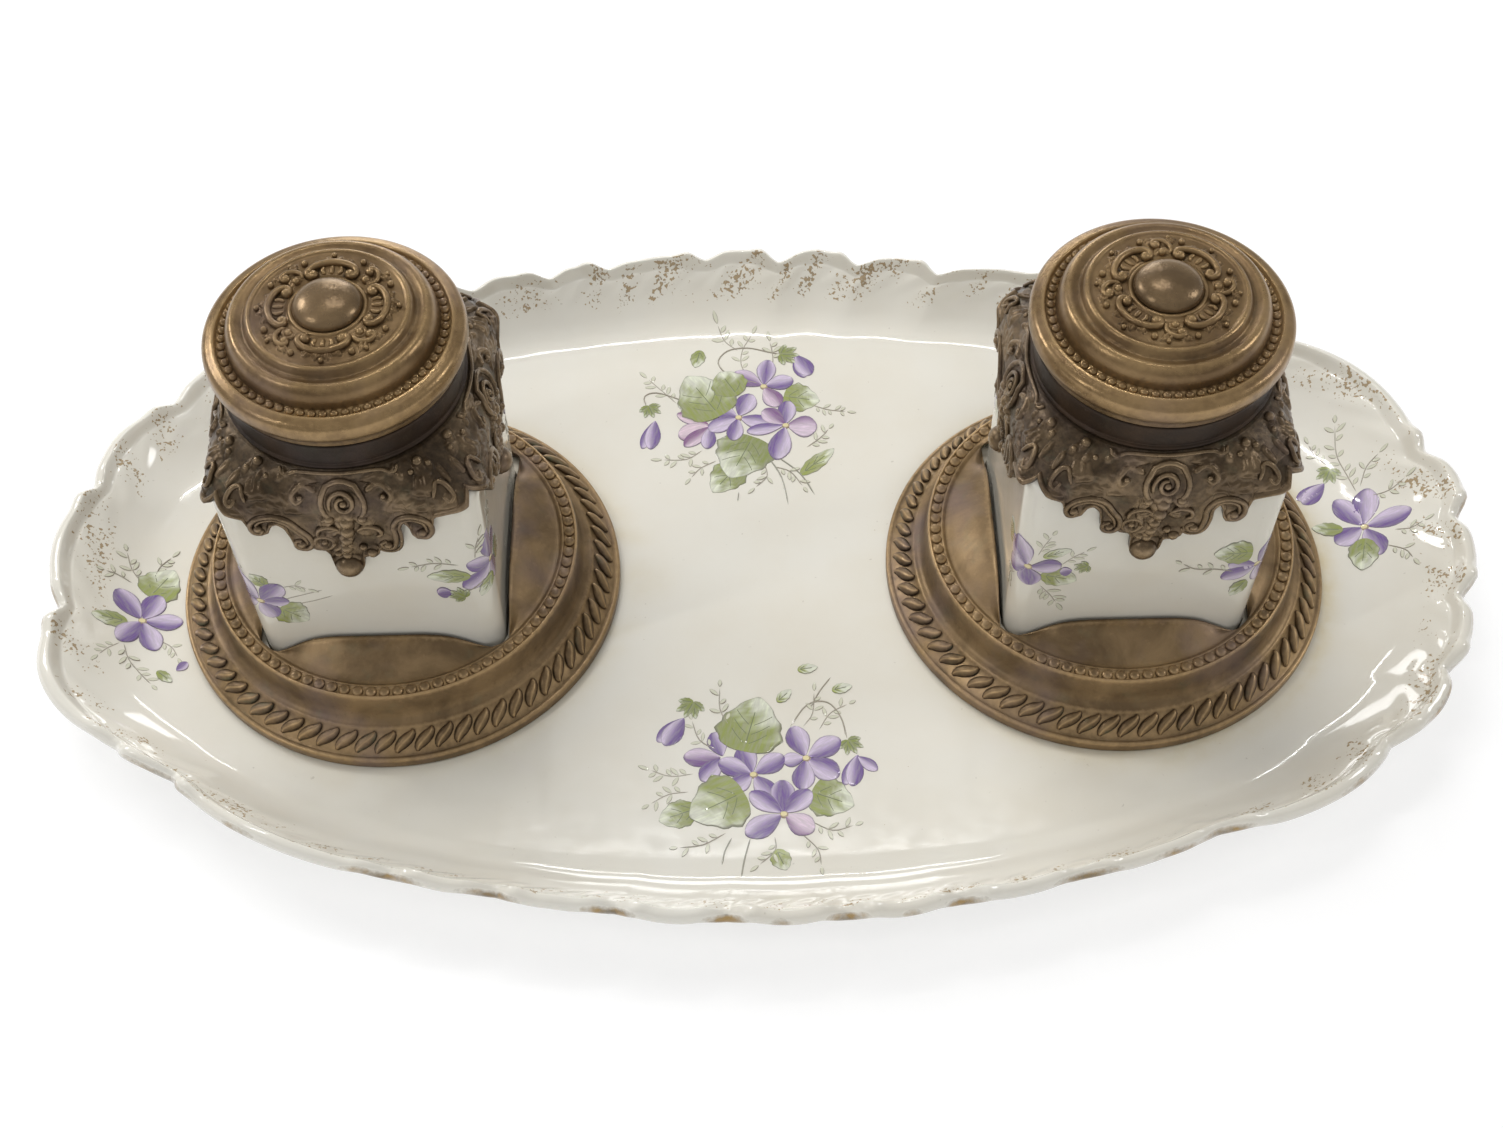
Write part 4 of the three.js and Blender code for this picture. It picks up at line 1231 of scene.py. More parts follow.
        # a drooping bud with its green cup
        root, tip, cup = np.array(root, float), np.array(tip, float), np.array(calyx, float)
        aside = np.array([tip[1] - root[1], root[0] - tip[0]]) * 0.22
        self.petal(root, tip + aside, width * 0.8, -1, pale + 0.3)
        self.petal(root, tip, width, 1, pale)
        away = (root - cup) / max(np.linalg.norm(root - cup), 1e-6)
        cross = np.array([-away[1], away[0]])
        size = width * 0.75
        for way in (away + cross * 0.9, away - cross * 0.9, cross * 1.2, -cross * 1.2, away * 1.3):
            self.leaf(cup - away * size * 0.3, cup + way * size * 0.75, size * 0.55, 0.1, 0, 0.6, 0)

    def sprig(self, points, leaflets, size):
        # a twig with paired outlined leaflets and one at its end
        spine = through(points, 8)
        self.line(points, 0.24, cover=0.75)
        spots = evenly(spine, leaflets + 2)[1:]
        ahead = np.gradient(evenly(spine, leaflets + 2), axis=0)[1:]
        for number, (spot, way) in enumerate(zip(spots, ahead)):
            way = way / max(np.linalg.norm(way), 1e-9)
            turns = (0,) if number == leaflets else ((0.9,) if number % 2 else (-0.9,))
            if number % 3 == 1 and number != leaflets:
                turns = (0.9, -0.9)
            for turn in turns:
                c, s = math.cos(turn), math.sin(turn)
                out = np.array([c * way[0] - s * way[1], s * way[0] + c * way[1]])
                self.leaflet(spot + out * 0.2, spot + out * size * (0.85 + 0.3 * (number % 2)), size * 0.42)

    def leaflet(self, root, tip, width):
        root, axis, _, side = bladeAxes(root, tip)
        u, v = easedShares(7), np.array([-1, -0.85, -0.55, 0, 0.55, 0.85, 1])
        half = width / 2 * np.sin(np.pi * u) ** 0.8
        grid, u, v = bladeGrid(root, axis, side, half, u, v)
        line = smoothstep(0.5, 0.85, np.abs(v))[..., None]
        fill = inks["green"] * 0.45 + inks["paleGreen"] * 0.55
        colour = fill * (1 - line) + inks["twig"] * line
        self.lay(grid, colour, 0.45 + 0.4 * line[..., 0], u * 0, v * 0)


def onTray(flat, lift):
    return np.column_stack([flat, trayPoint(flat[:, 0], flat[:, 1]) + lift])


def paintBackSpray(p):
    for points, count, size in (
        ([(-17.5, 47), (-20.5, 50.5), (-24, 54.5)], 5, 2.4),
        ([(-2.5, 55), (-3.5, 58.5), (-3, 62.5), (-1, 66.5)], 5, 2.2),
        ([(-4, 62), (-7, 65), (-8.5, 69)], 3, 2.6), ([(-12, 34), (-15.5, 31.5), (-20.5, 31.5)], 5, 2.3),
        ([(-9, 31), (-12.5, 29), (-14.5, 26.5)], 3, 2.0), ([(11.5, 46), (15, 44.5), (19, 43.8)], 5, 1.9),
        ([(10, 34), (13, 36.5), (15, 39)], 4, 2.2), ([(1, 30), (1.5, 26.5), (-1, 23.5)], 3, 2.0),
        ([(3, 29), (6.5, 27.5), (9, 23.5)], 4, 2.2), ([(3.5, 58), (3.5, 61), (3, 64.5)], 3, 2.4),
    ):
        p.sprig(points, count, size)
    p.line([(1.5, 52), (-5.5, 54.5), (-8.5, 58.5), (-6.5, 62), (-2, 62.8), (2.5, 61.5), (6, 60.5)], 0.32)
    p.line([(-13.5, 46.5), (-17.5, 48.5), (-22, 50.3), (-24.6, 49.3), (-24.2, 46.5)], 0.32)
    p.line([(2, 31.5), (4.6, 26), (5.8, 18.5)], 0.34, "leafLine", 0.7)
    p.line([(3.5, 32), (8.5, 27), (11.5, 21)], 0.34, "leafLine", 0.7)
    p.line([(-4.5, 22.5), (-4.8, 19.8)], 0.3, "leafLine", 0.7)
    p.leaf((-8.2, 43.2), (-15.5, 54.8), 13.5, 0.42, -0.5, 0.4, 3, 0.45)
    p.leaf((-4.4, 49), (-8.2, 55.8), 8.5, 0.25, -0.4, 0.45)
    p.leaf((5.6, 48.6), (13.4, 47), 8.6, 0.35, 0.3, 0.3, 2, 0.45)
    p.leaf((-4.6, 29.6), (-10, 22.4), 8, 0.34, -0.3, 0.5, 2, 0.45)
    p.leaf((-1.2, 37.4), (-6.4, 26.2), 13, 0.42, -0.35, 0.65, 3, 0.45)
    p.leaf((8.6, 26.6), (16, 33.6), 3.6, 0.3, -0.3, 0.2)
    p.leaf((-12.4, 62.4), (-13.6, 57.4), 3.4, 0.3, 0.5, 0.4, 1)
    p.bud((-22.2, 42.4), (-23.2, 34.4), 3.6, (-23.4, 45.8))
    p.bud((8.6, 60.4), (11.6, 54.4), 4.4, (6.2, 60.6))
    p.violet((-10.2, 40.6), ((-17.6, 44.2), 3.2, -1, 0.35, 0.9), ((-17.2, 37.6), 5.4, 1, 0.75, 0.9),
             ((-16, 35), 3.6, -1, 0.3, 0.7), ((-11.2, 34.2), 3.4, 1, 0.4), eye=0)
    p.violet((1.3, 51.5), ((4.6, 45.6), 4.6, 1, 0.5, 0.6), ((2.5, 59.2), 4.4, 0, 0.45),
             ((7.9, 53.3), 4.4, -1, 0.5), ((-5.2, 55.6), 4.8, 1, 0.2, 0.3))
    p.violet((-4.3, 42.8), ((-1.4, 49.4), 4.8, 1, 0.45), ((-10.2, 46.2), 4.4, 1, 0.35),
             ((-10.9, 39.4), 4.2, -1, 0.85), ((-5.6, 36.3), 3.8, -1, 0.3), ((2.6, 40.5), 4.2, 1, 0.65))
    p.violet((5.8, 40.3), ((6.5, 47.2), 4.2, 1, 0.3), ((1, 44.8), 4.6, -1, 0.3, 0.5),
             ((-2.6, 38.7), 3.3, -1, 0.55), ((12.6, 39.6), 6.2, 1, 0.85, 0.5), ((3.5, 30.8), 5.2, -1, 0.4))


def paintFrontSpray(p):
    for points, count, size in (
        ([(-7, -36), (-9, -31.5), (-9, -26.5)], 4, 2.2),
        ([(-9.5, -41), (-13, -38.5), (-14.5, -34)], 4, 2.0),
        ([(-14, -46), (-18.5, -46.5), (-22.5, -45)], 5, 2.3),
        ([(-15, -50), (-19, -50.5), (-22.5, -52.5)], 4, 2.2),
        ([(10, -37), (12.5, -33), (16, -31)], 4, 2.1), ([(7, -36), (9, -33), (9.5, -28)], 3, 2.0),
        ([(8, -57), (12, -59), (16, -58)], 4, 2.2), ([(1, -60), (1, -63), (-2, -66)], 3, 2.1),
        ([(-8, -59), (-12.5, -61.5), (-17, -62)], 4, 2.2), ([(6, -59.5), (9, -63), (9.5, -66.5)], 3, 2.0),
    ):
        p.sprig(points, count, size)
    p.line([(4.5, -36), (8, -31), (12, -30.5), (14.5, -34), (15.5, -39)], 0.32)
    p.line([(8.5, -32), (10.5, -28), (13, -24.5)], 0.3)
    p.line([(-7, -60), (-8.4, -63), (-9, -66)], 0.32, "leafLine", 0.7)
    p.line([(-3.5, -60), (-4.8, -65), (-5.4, -69)], 0.32, "leafLine", 0.7)
    for root, tip, width in (((6.4, -22.8), (10.4, -22.2), 2.3), ((2.2, -30.2), (5, -27.4), 2.3),
                             ((13, -27.8), (17, -26.8), 2.4)):
        p.leaf(root, tip, width, 0.75, 0, 0.1, 1)
    p.leaf((-4.6, -41.4), (-1.2, -29), 13.2, 0.35, -0.5, 0.4, 3, 0.45)
    p.leaf((-4.6, -50.4), (-15, -55.6), 12.4, 0.45, 0.4, 0.35, 3, 0.45)
    p.leaf((-13.4, -53.6), (-20.8, -56.2), 6.2, 0.35, -0.3, 0.4)
    p.leaf((8.2, -50.6), (16.2, -53.8), 9, 0.4, 0.3, 0.4, 2, 0.45)
    p.leaf((1.2, -62.8), (3, -67.4), 4, 0.35, 0, 0.2, 1)
    p.bud((-16, -33.4), (-19.9, -39.6), 4.2, (-14.6, -30.6))
    p.bud((17.4, -42.6), (16, -49.6), 3.6, (16, -40))
    p.petal((17.4, -43), (21, -46.2), 2.6, 1, 0.6)
    p.violet((-8.5, -42.6), ((-10.4, -36.8), 4, 1, 0.35), ((-16.2, -42.3), 4.4, 1, 0.4, 0.3),
             ((-12.8, -47.7), 4.2, -1, 0.5), eye=0)
    p.violet((7.4, -43.1), ((5, -35.8), 4.8, 1, 0.45), ((14.2, -38.9), 4.8, -1, 0.55),
             ((13.6, -47.4), 5.2, 1, 0.5), ((6.4, -50.2), 4.6, -1, 0.35), ((2.8, -43.6), 3.4, 1, 0.85))
    p.violet((-2.8, -46.5), ((-5.1, -40.2), 4.6, 1, 0.15), ((3.2, -42.4), 4.6, -1, 0.35),
             ((-9.5, -43.4), 4.4, 1, 0.4), ((-7, -49.6), 4, -1, 0.5), ((1.1, -52.2), 4.4, 1, 0.4))
    p.violet((2.8, -55.3), ((2.7, -47.8), 5, 0, 0.2), ((8.2, -50.3), 4.4, 1, 0.4),
             ((-3.6, -50.4), 4.2, -1, 0.45), ((-4.5, -59.7), 5, 1, 0.35), ((8.4, -59.2), 5, -1, 0.8, 0.6))


def paintEndSprays(p):
    for points, count, size in (
        ([(-126.5, 1.2), (-128.6, 4), (-129.8, 7.5)], 4, 2.2),
        ([(-124, 3), (-123.4, 5.5), (-121.5, 8)], 3, 2.0),
        ([(-128, 0.5), (-130.6, 1.6), (-132.8, 1.8)], 2, 1.9),
        ([(-127.4, -14.4), (-126, -18), (-123.5, -21), (-121, -23.5)], 6, 2.2),
        ([(-128, -14.5), (-129.8, -16.5), (-131, -18.6)], 3, 1.9),
        ([(-121.5, -12.5), (-118.6, -14), (-117, -16.5)], 3, 2.0),
        ([(123.8, 17), (122.4, 22), (121.2, 27), (121.6, 33.5)], 8, 2.3),
        ([(124.5, 18), (126.2, 22), (128.6, 24)], 3, 2.0),
        ([(126, 15.5), (129.5, 15.5), (132.6, 17)], 3, 2.0), ([(129, 6), (131.8, 5), (134, 5.6)], 3, 1.9),
        ([(127, 3), (130, 0.5), (131, -2)], 3, 2.0),
        ([(119.5, 24.5), (117.2, 27.5), (116.2, 30.5)], 3, 1.9),
    ):
        p.sprig(points, count, size)
    p.leaf((-124.4, -2.2), (-120.4, 4.8), 9, 0.45, 0.3, 0.3, 2, 0.45)
    p.leaf((-127.4, -9.2), (-133.4, -9.8), 3.6, 0.25, 0.3, 0.4)
    p.leaf((-120.4, -20.2), (-117.2, -22.6), 2.2, 0.3, 0, 0.4, 0)
    p.petal((-116.8, -19.8), (-114.8, -17.8), 2.2, 1, 0.1)
    p.violet((-124.9, -8.3), ((-122.3, -1.6), 5, 1, 0.3), ((-130.4, -1.8), 4.6, 1, 0.2),
             ((-117, -8), 4.2, -1, 0.55), ((-121.2, -15.2), 4.6, -1, 0.6), ((-128.5, -14.1), 4.4, 1, 0.25))
    p.leaf((123.6, 5.6), (121.6, -2), 6, 0.4, 0.3, 0.4)
    p.leaf((119.8, 8.6), (113.6, 9.4), 3.4, 0.3, 0, 0.4)
    p.bud((118, 20.6), (112.8, 15.8), 3.8, (119.2, 23))
    p.violet((123.9, 8.6), ((125.7, 17.4), 5.4, 1, 0.55), ((119.3, 16.2), 4.8, 1, 0.3),
             ((132.8, 9.7), 4.8, -1, 0.45), ((126, 0.9), 4.8, 1, 0.4), ((117.7, 5.4), 4.8, -1, 0.4))


def wellPlacer(side):
    # flat places are (mm right of the front's middle, mm above the saucer's foot), round the corners too
    middle = stackMiddle[side]
    halfCount = 1440
    fine = np.linspace(-math.pi, math.pi, 2 * halfCount + 1)
    radius = wellRadius(fine - math.pi / 2, saucerFoot + 30)
    x, y = radius * np.cos(fine - math.pi / 2), radius * np.sin(fine - math.pi / 2)
    length = np.concatenate([[0], np.cumsum(np.hypot(np.diff(x), np.diff(y)))])
    length -= length[halfCount]
    step = 0.002  # to the next point, which gives the skin's direction

    def place(flat, lift):
        height = saucerFoot + flat[:, 1]
        angle = np.interp(flat[:, 0], length, fine) - math.pi / 2
        radius = wellRadius(angle, height)
        near = wellRadius(angle + step, height)
        tx = near * np.cos(angle + step) - radius * np.cos(angle)
        ty = near * np.sin(angle + step) - radius * np.sin(angle)
        size = np.hypot(tx, ty)
        return np.column_stack([
            middle[0] + radius * np.cos(angle) + ty / size * lift,
            middle[1] + radius * np.sin(angle) - tx / size * lift, height,
        ])
    return place


def paintWell(p, side):
    if side == "left":
        p.line([(-16, 27.2), (-12, 28.6), (-8, 30)], 0.3)
        p.line([(-15, 25.4), (-10.5, 26.6), (-6.4, 28.2)], 0.3)
        p.sprig([(-15.5, 31), (-13, 31.4), (-11, 30.4)], 3, 2.0)
        p.sprig([(-21.5, 34), (-24, 37), (-27, 38.5)], 3, 2.0)
        p.leaf((-17.2, 24.6), (-12.6, 20.4), 7.8, 0.45, 0.3, 0.3, 2, 0.45)
        p.leaf((-18.2, 31.6), (-20.6, 35.2), 3.2, 0.3, 0, 0.4)
        p.leaf((-25.5, 24), (-29.5, 21), 4, 0.3, 0, 0.4)
        p.violet((-20.4, 27), ((-24.4, 34.4), 4.6, 1, 0.4), ((-15.6, 31.8), 5, 1, 0.2),
                 ((-15, 26.6), 3.2, 1, 0.1), ((-18.6, 21.6), 4.6, 1, 0.5), ((-26.4, 24.6), 4.6, -1, 0.5))
        p.sprig([(18, 36.6), (13.5, 37.4), (9, 36.4)], 5, 2.2)
        p.sprig([(21, 38), (21.5, 41), (22.5, 43.5)], 3, 2.4)
        p.sprig([(25, 41), (28, 42.5), (30.5, 45)], 3, 2.2)
        p.line([(22.4, 31.6), (19, 29), (15.4, 27)], 0.3)
        p.leaf((19.6, 33.4), (11.6, 33.4), 4, 0.4, 0.3, 0.3)
        p.leaf((24, 31.6), (20.8, 26.8), 3.2, 0.5, 0, 0.3)
        p.leaf((28, 33), (32, 30), 4.4, 0.4, 0.2, 0.4)
        p.bud((15.6, 28.6), (12.8, 28.2), 3.4, (17.2, 27.4), 0.0)
        p.violet((24.6, 34.8), ((24.6, 42.6), 4.8, 1, 0.35), ((19.2, 36.8), 4.2, 1, 0.3),
                 ((17.8, 29.6), 4.2, -1, 0.45), ((26.4, 28.4), 4.4, 1, 0.4), ((30.6, 36.6), 4.8, 1, 0.3))
    else:
        p.sprig([(-19.6, 35.6), (-18.8, 38.4), (-17.6, 41.4)], 4, 2.2)
        p.sprig([(-15, 32.6), (-13, 35), (-11, 36.6)], 3, 2.0)
        p.sprig([(-18.4, 26.6), (-16.2, 23.6), (-14.6, 20.8)], 5, 2.6)
        p.sprig([(-23.6, 28), (-25.4, 26), (-26, 23.4)], 4, 2.2)
        p.leaf((-18.6, 35.2), (-13.6, 37.4), 2.6, 0.7, 0, 0.2)
        p.leaf((-18.4, 30), (-11.6, 27.8), 5.6, 0.4, -0.3, 0.3)
        p.leaf((-27, 33), (-31.5, 35), 4.4, 0.4, 0.2, 0.4)
        p.bud((-12.8, 31), (-15, 30.4), 2.8, (-10.6, 32), 0.1)
        p.violet((-21.1, 32.2), ((-24, 39.2), 5, 1, 0.35), ((-27, 35.6), 4.4, -1, 0.55),
                 ((-14.8, 32.6), 4.2, 1, 0.4), ((-20.3, 26.6), 5, 0, 0.15), ((-26.2, 29.6), 4.2, 1, 0.5))
        p.sprig([(17.6, 29.6), (13.6, 30.4), (10, 30.6), (7.4, 32.2)], 4, 2.1)
        p.sprig([(24, 37), (27, 39.5), (30, 40)], 3, 2.2)
        p.leaf((19.6, 35.6), (12.6, 35), 7, 0.35, -0.6, 0.25, 3, 0.45)
        p.leaf((20, 26.8), (18, 22), 3, 0.35, 0, 0.4)
        p.leaf((26, 28), (31, 26.6), 4.6, 0.4, 0, 0.4)
        p.violet((21.4, 31.2), ((15.8, 31.8), 3.8, -1, 0.5), ((15.2, 27.4), 4, -1, 0.3),
                 ((24.4, 37.2), 4.6, 1, 0.3), ((28.6, 31.4), 4.8, 1, 0.45), ((23.6, 25.4), 4.2, 1, 0.3))


def paintAll():
    trayPainter = Painter(onTray)
    paintBackSpray(trayPainter)
    paintFrontSpray(trayPainter)
    paintEndSprays(trayPainter)
    makePiece("tray_violets", joined(trayPainter.sheets), paintedDecoration, "tray", "porcelain")
    for side in sides:
        painter = Painter(wellPlacer(side))
        paintWell(painter, side)
        # the same sprays again, half way round
        again = Painter(turnedPlacer(side))
        paintWell(again, "right" if side == "left" else "left")
        makePiece(side + "_well_violets", joined(painter.sheets + again.sheets), paintedDecoration,
                  side + "_inkwell", "porcelain")


def turnedPlacer(side):
    place = wellPlacer(side)
    middle = stackMiddle[side]

    def turned(flat, lift):
        points = place(flat, lift)
        points[:, :2] = 2 * middle - points[:, :2]
        return points
    return turned


paintAll()
print("violets ready")


# Hoods: stamped brass over the shoulders, with scrolls, shells and a pendant on each side

hood = {
    "columns": 800,
    "sideRows": 74,
    "lift": 1.15,  # from the porcelain to the plain ground of the stamping
    "thickness": 0.75,
    "ringTop": neckLow[2] - 0.3,
    "neckFoot": 21.9,
    "crease": 0.65,  # how far up the shoulder
    "endDrop": 0.12,  # from the flat ring down to the end of the stamping
    "mouth": 17.0,
    "faceHalf": well["bellyHalf"] + 1.7,  # places on a face are measured at this distance
}
hood["creaseLevel"] = well["belly"] + hood["crease"] * (hood["ringTop"] - well["belly"])
hood["shoulderRise"] = hood["ringTop"] - hood["endDrop"] - hood["creaseLevel"]
# over the shoulder from the crease to the neck: share of the way in, share of the rise
shoulderLine = np.array([(0.0, 0.0), (0.35, 0.42), (0.7, 0.78), (1.0, 1.0)])
# lower edge on a face: mm right of its middle, mm above the saucer's foot
hoodEdge = np.array([
    (-24.9, 56.5), (-24, 56), (-21, 54.6), (-17.8, 53.2), (-17.3, 51), (-16.9, 49.6),
    (-15.5, 48.8), (-14.1, 49.4), (-13.3, 51.3), (-12, 51.8), (-10.9, 50.6), (-10.3, 48),
    (-10.1, 45.8), (-9.2, 44.6), (-8, 44.4), (-6.9, 44.9), (-6.2, 44.3), (-4.6, 44), (-3.9, 42.6),
    (-4.2, 40.2), (-3.4, 37.9), (-1.4, 36.8), (0.7, 37.7), (1.7, 39.9), (1.9, 42), (2.9, 42.1),
    (3.9, 41.9), (4.9, 43), (5.3, 44.4), (6.6, 43.9), (8, 44.9), (8.7, 47.8), (9.3, 51),
    (10.5, 51.8), (11.4, 50.4), (11.7, 48.2), (12.6, 46.9), (13.9, 46.7), (15.2, 47.8), (15.8, 50.4),
    (16.2, 52.8), (19.5, 53.8), (23, 54.5), (24.9, 56),
])
# the two large scrolls of a face, in the same places
hoodScrolls = [
    through([(-14.9, 50.6), (-15.4, 49.6), (-16.6, 50), (-16.9, 51.9), (-15.4, 53.7), (-12.6, 54.3),
             (-10, 53), (-8.4, 50.6), (-7, 48.4), (-6.7, 46.2), (-7.9, 45), (-9.5, 45.4),
             (-9.7, 46.9), (-8.6, 47.4)]),
    through([(6.7, 46.6), (5.7, 45.8), (6.3, 44.7), (8, 45), (8.6, 47.6), (8.6, 50.6), (10, 52.9),
             (12.4, 53.4), (14.8, 52), (15.4, 49.4), (14.4, 47.7), (12.9, 47.9), (12.9, 49.2)]),
]


def hoodField(s, z):
    # relief of one face at places s, right of its middle, and z, above the saucer's foot
    field = np.zeros(s.shape)
    at = np.stack([s.ravel(), z.ravel()], 1)
    flat = field.ravel()
    raiseRidge(flat, at, hoodScrolls[0], 2.8, 0.5, 0.2)
    raiseRidge(flat, at, hoodScrolls[1], 2.8, 0.5, 0.2)
    for middle in ((-15.3, 50.4), (-8.6, 46.6), (6.6, 45.9), (13.5, 48.6)):
        raiseBoss(flat, at, middle, 1.1, 0.6)
    ring = [(-4.4 + 1.7 * math.cos(a), 46.7 + 1.7 * math.sin(a)) for a in np.linspace(0, 2 * math.pi, 17)]
    raiseRidge(flat, at, ring, 1.3, 0.9, 0)
    raiseBoss(flat, at, (-4.4, 46.7), 0.8, 0.9)
    raiseBoss(flat, at, (-1.3, 39.7), 2.9, 0.8)
    raiseBoss(flat, at, (3.8, 43.4), 1.4, 0.6)
    # drop of bells from the medallion down to the pendant
    for k in range(6):
        raiseLeaf(flat, at, (0.3 - 0.22 * k, 54.6 - 1.9 * k), (0.1 - 0.22 * k, 51.2 - 1.9 * k),
                  4.2 - 0.35 * k, 1.05)
    for lean in (-1, 1):
        raiseLeaf(flat, at, (-0.6, 45.8), (-0.9 + lean * 3.2, 42.0), 2.4, 0.9, 2)
        raiseLeaf(flat, at, (0.2 + lean * 1.2, 50.5), (0.2 + lean * 4.6, 47.8), 2.2, 0.85, 2)
        raiseLeaf(flat, at, (0.3 + lean * 1.5, 53.4), (0.3 + lean * 5.6, 50.8), 2.6, 0.9, 2)
    medallion = [(0.5 + 3.7 * math.cos(a), 56.6 + 3.7 * math.sin(a))
                 for a in np.linspace(-0.9, math.pi + 0.9, 25)]
    raiseRidge(flat, at, medallion, 1.6, 0.5, 0.25)
    for lean in (-1, 1):
        raiseBoss(flat, at, (0.5 + lean * 3.1, 53.4), 1.0, 1.0)
        brow = through([(0.5 + lean * 5.0, 58.8), (0.5 + lean * 7.5, 59.6), (0.5 + lean * 9.2, 58.0),
                        (0.5 + lean * 8.4, 56.6), (0.5 + lean * 7.3, 57.3)])
        raiseRidge(flat, at, brow, 1.3, 0.8, 0.3)
    # acanthus sprays in the fields at both sides
    for root, tip, width, ribs in (
        ((-6.5, 54.5), (-13.5, 58.6), 3.6, 3), ((-9.5, 55.2), (-17.5, 55.6), 3.2, 3),
        ((-13, 57.5), (-19.5, 60.2), 3, 3), ((-17, 54.6), (-22.5, 57), 2.8, 2),
        ((7.4, 54.5), (13.8, 58.4), 3.6, 3), ((10, 55), (17.8, 55.4), 3.2, 3),
        ((13.5, 57.6), (19.8, 60), 3, 3), ((17.2, 54.8), (22.6, 57.2), 2.8, 2),
        ((-3.5, 60.2), (-9.5, 61.2), 2, 2), ((4.5, 60.2), (10.5, 61.2), 2, 2),
    ):
        raiseLeaf(flat, at, root, tip, width, 0.6, ribs)
    for middle, radius, dish in (
        ((-18.4, 63.2), 1.5, 0), ((-20.6, 61.5), 1.2, 0.6), ((-22.6, 59.4), 1.1, 0.5),
        ((-16.4, 60.8), 0.9, 0), ((-11.6, 60.9), 0.8, 0), ((18, 62.6), 1.5, 0),
        ((20.4, 61.6), 1.1, 0.7), ((22.4, 59.6), 1.1, 0.5), ((16.6, 61.4), 0.9, 0), ((12.6, 60.6), 0.8, 0),
    ):
        raiseBoss(flat, at, middle, radius, 0.65, dish)
    # bar along the crease, curled at its ends
    bar = through([(-11.2, 62.6), (-10.2, 61.5), (-8.6, 62.1), (-4, 62.2), (4, 62.2), (9.4, 62.1),
                   (11.0, 61.5), (12.0, 62.6)])
    raiseRidge(flat, at, bar, 1.1, 0.75, 0.2)
    # a rolled bead along the plain parts of the lower edge
    raiseRidge(flat, at, hoodEdge + (0, 0.45), 1.0, 0.75, 0)
    return flat.reshape(s.shape)


def hoodGround(height, angle):
    # radius of the stamping's plain ground below the crease
    half, corner = wellSize(height)
    return squareRadius(half + hood["lift"], corner + hood["lift"], angle)


def hoodShape():
    # grid of places: along each face from edge to neck
    angle = crowdedAngles(hood["columns"])
    quarter = np.round((angle + math.pi / 2) / (math.pi / 2)) % 4  # 0 front, 1 right, 2 back, 3 left
    turned = angle - (quarter * math.pi / 2 - math.pi / 2)
    crease = np.full(len(angle), hood["creaseLevel"])
    s = np.tan((turned + math.pi) % (2 * math.pi) - math.pi) * hood["faceHalf"]
    edge = saucerFoot + np.interp(s, hoodEdge[:, 0], hoodEdge[:, 1])
    share = np.linspace(0, 1, hood["sideRows"])[:, None]
    z = edge + (crease - edge) * share
    radius = np.stack([hoodGround(line, angle) for line in z])
    # over the shoulder to the flat ring at the neck
    outRadius = hoodGround(crease, angle)
    over = rounded(shoulderLine, 2)[1:]
    extraRadius = np.stack([outRadius + (hood["neckFoot"] - outRadius) * t for t, _ in over])
    extraZ = np.stack([crease + hood["shoulderRise"] * t for _, t in over])
    return angle, s, z, radius, extraRadius, extraZ


def makeHood(side):
    middle = stackMiddle[side]
    angle, s, z, radius, extraRadius, extraZ = hoodShape()
    allRadius = np.vstack([radius, extraRadius])
    allZ = np.vstack([z, extraZ])
    # s follows the true distance from the middle of the face, and the shoulder continues z
    ground = ringRow(middle, allRadius, angle, allZ)
    along = np.broadcast_to(s, allZ.shape)
    climb = allZ - saucerFoot
    extra = np.cumsum(np.linalg.norm(np.diff(ground[len(z) - 1:], axis=0), axis=2), axis=0)
    climb[len(z):] = climb[len(z) - 1] + extra
    field = hoodField(along, climb)
    rng = np.random.default_rng(7)
    lumps = sum(
        np.sin(along * rng.uniform(0.5, 1.6) + rng.uniform(0, 6))
        * np.sin(climb * rng.uniform(0.6, 1.7) + rng.uniform(0, 6))
        for _ in range(6)
    ) / 6
    atNeck = smoothstep(1.0, 0.55, (climb - climb[len(z) - 1]) / (climb[-1] - climb[len(z) - 1]))
    corner = smoothstep(19, 23.5, np.abs(along)) * smoothstep(53, 57, climb)
    height = np.maximum(field, 0.22 * lumps + 0.15 - 0.3 * corner) * atNeck
    tangentA = np.roll(ground, -1, 1) - np.roll(ground, 1, 1)
    tangentB = np.gradient(ground, axis=0)
    normal = np.cross(tangentA, tangentB)
    for _ in range(6):
        normal = unit(normal)
        padded = np.concatenate([normal[:1], normal, normal[-1:]])
        normal = (padded[:-2] + padded[2:] + 2 * normal) / 4
        normal = (np.roll(normal, 1, 1) + np.roll(normal, -1, 1) + 2 * normal) / 4
    normal = unit(normal)
    outer = ground + normal * height[..., None]
    outer[..., 2] = np.minimum(outer[..., 2], hood["ringTop"])
    inner = ground - normal * hood["thickness"]
    inner = inner[np.unique(np.linspace(0, len(inner) - 1, 16).astype(int))]
    # brighter where the stamping stands higher: rubbed wear and painted highlight
    relief = np.clip(0.22 + height / 1.7, 0, 1)
    # the flat ring: mm outside the mouth, mm below its top
    ringInner = [ringRow(middle, hood["mouth"] + out, angle, hood["ringTop"] - drop)
                 for out, drop in ((2, hood["endDrop"]), (0, 0.3), (0, 1.0), (3, 1.1))]
    rows = np.concatenate([outer, ringInner, inner[::-1]])
    reliefs = np.concatenate([relief, np.full((len(ringInner), len(angle)), 0.35),
                              np.full(inner.shape[:2], 0.1)])
    part = outwards(skin(rows, wrapRows=True, relief=reliefs))
    makePiece(side + "_stamped_hood", part, hoodBrass, side + "_inkwell", "dark_brass", side + "_hood")


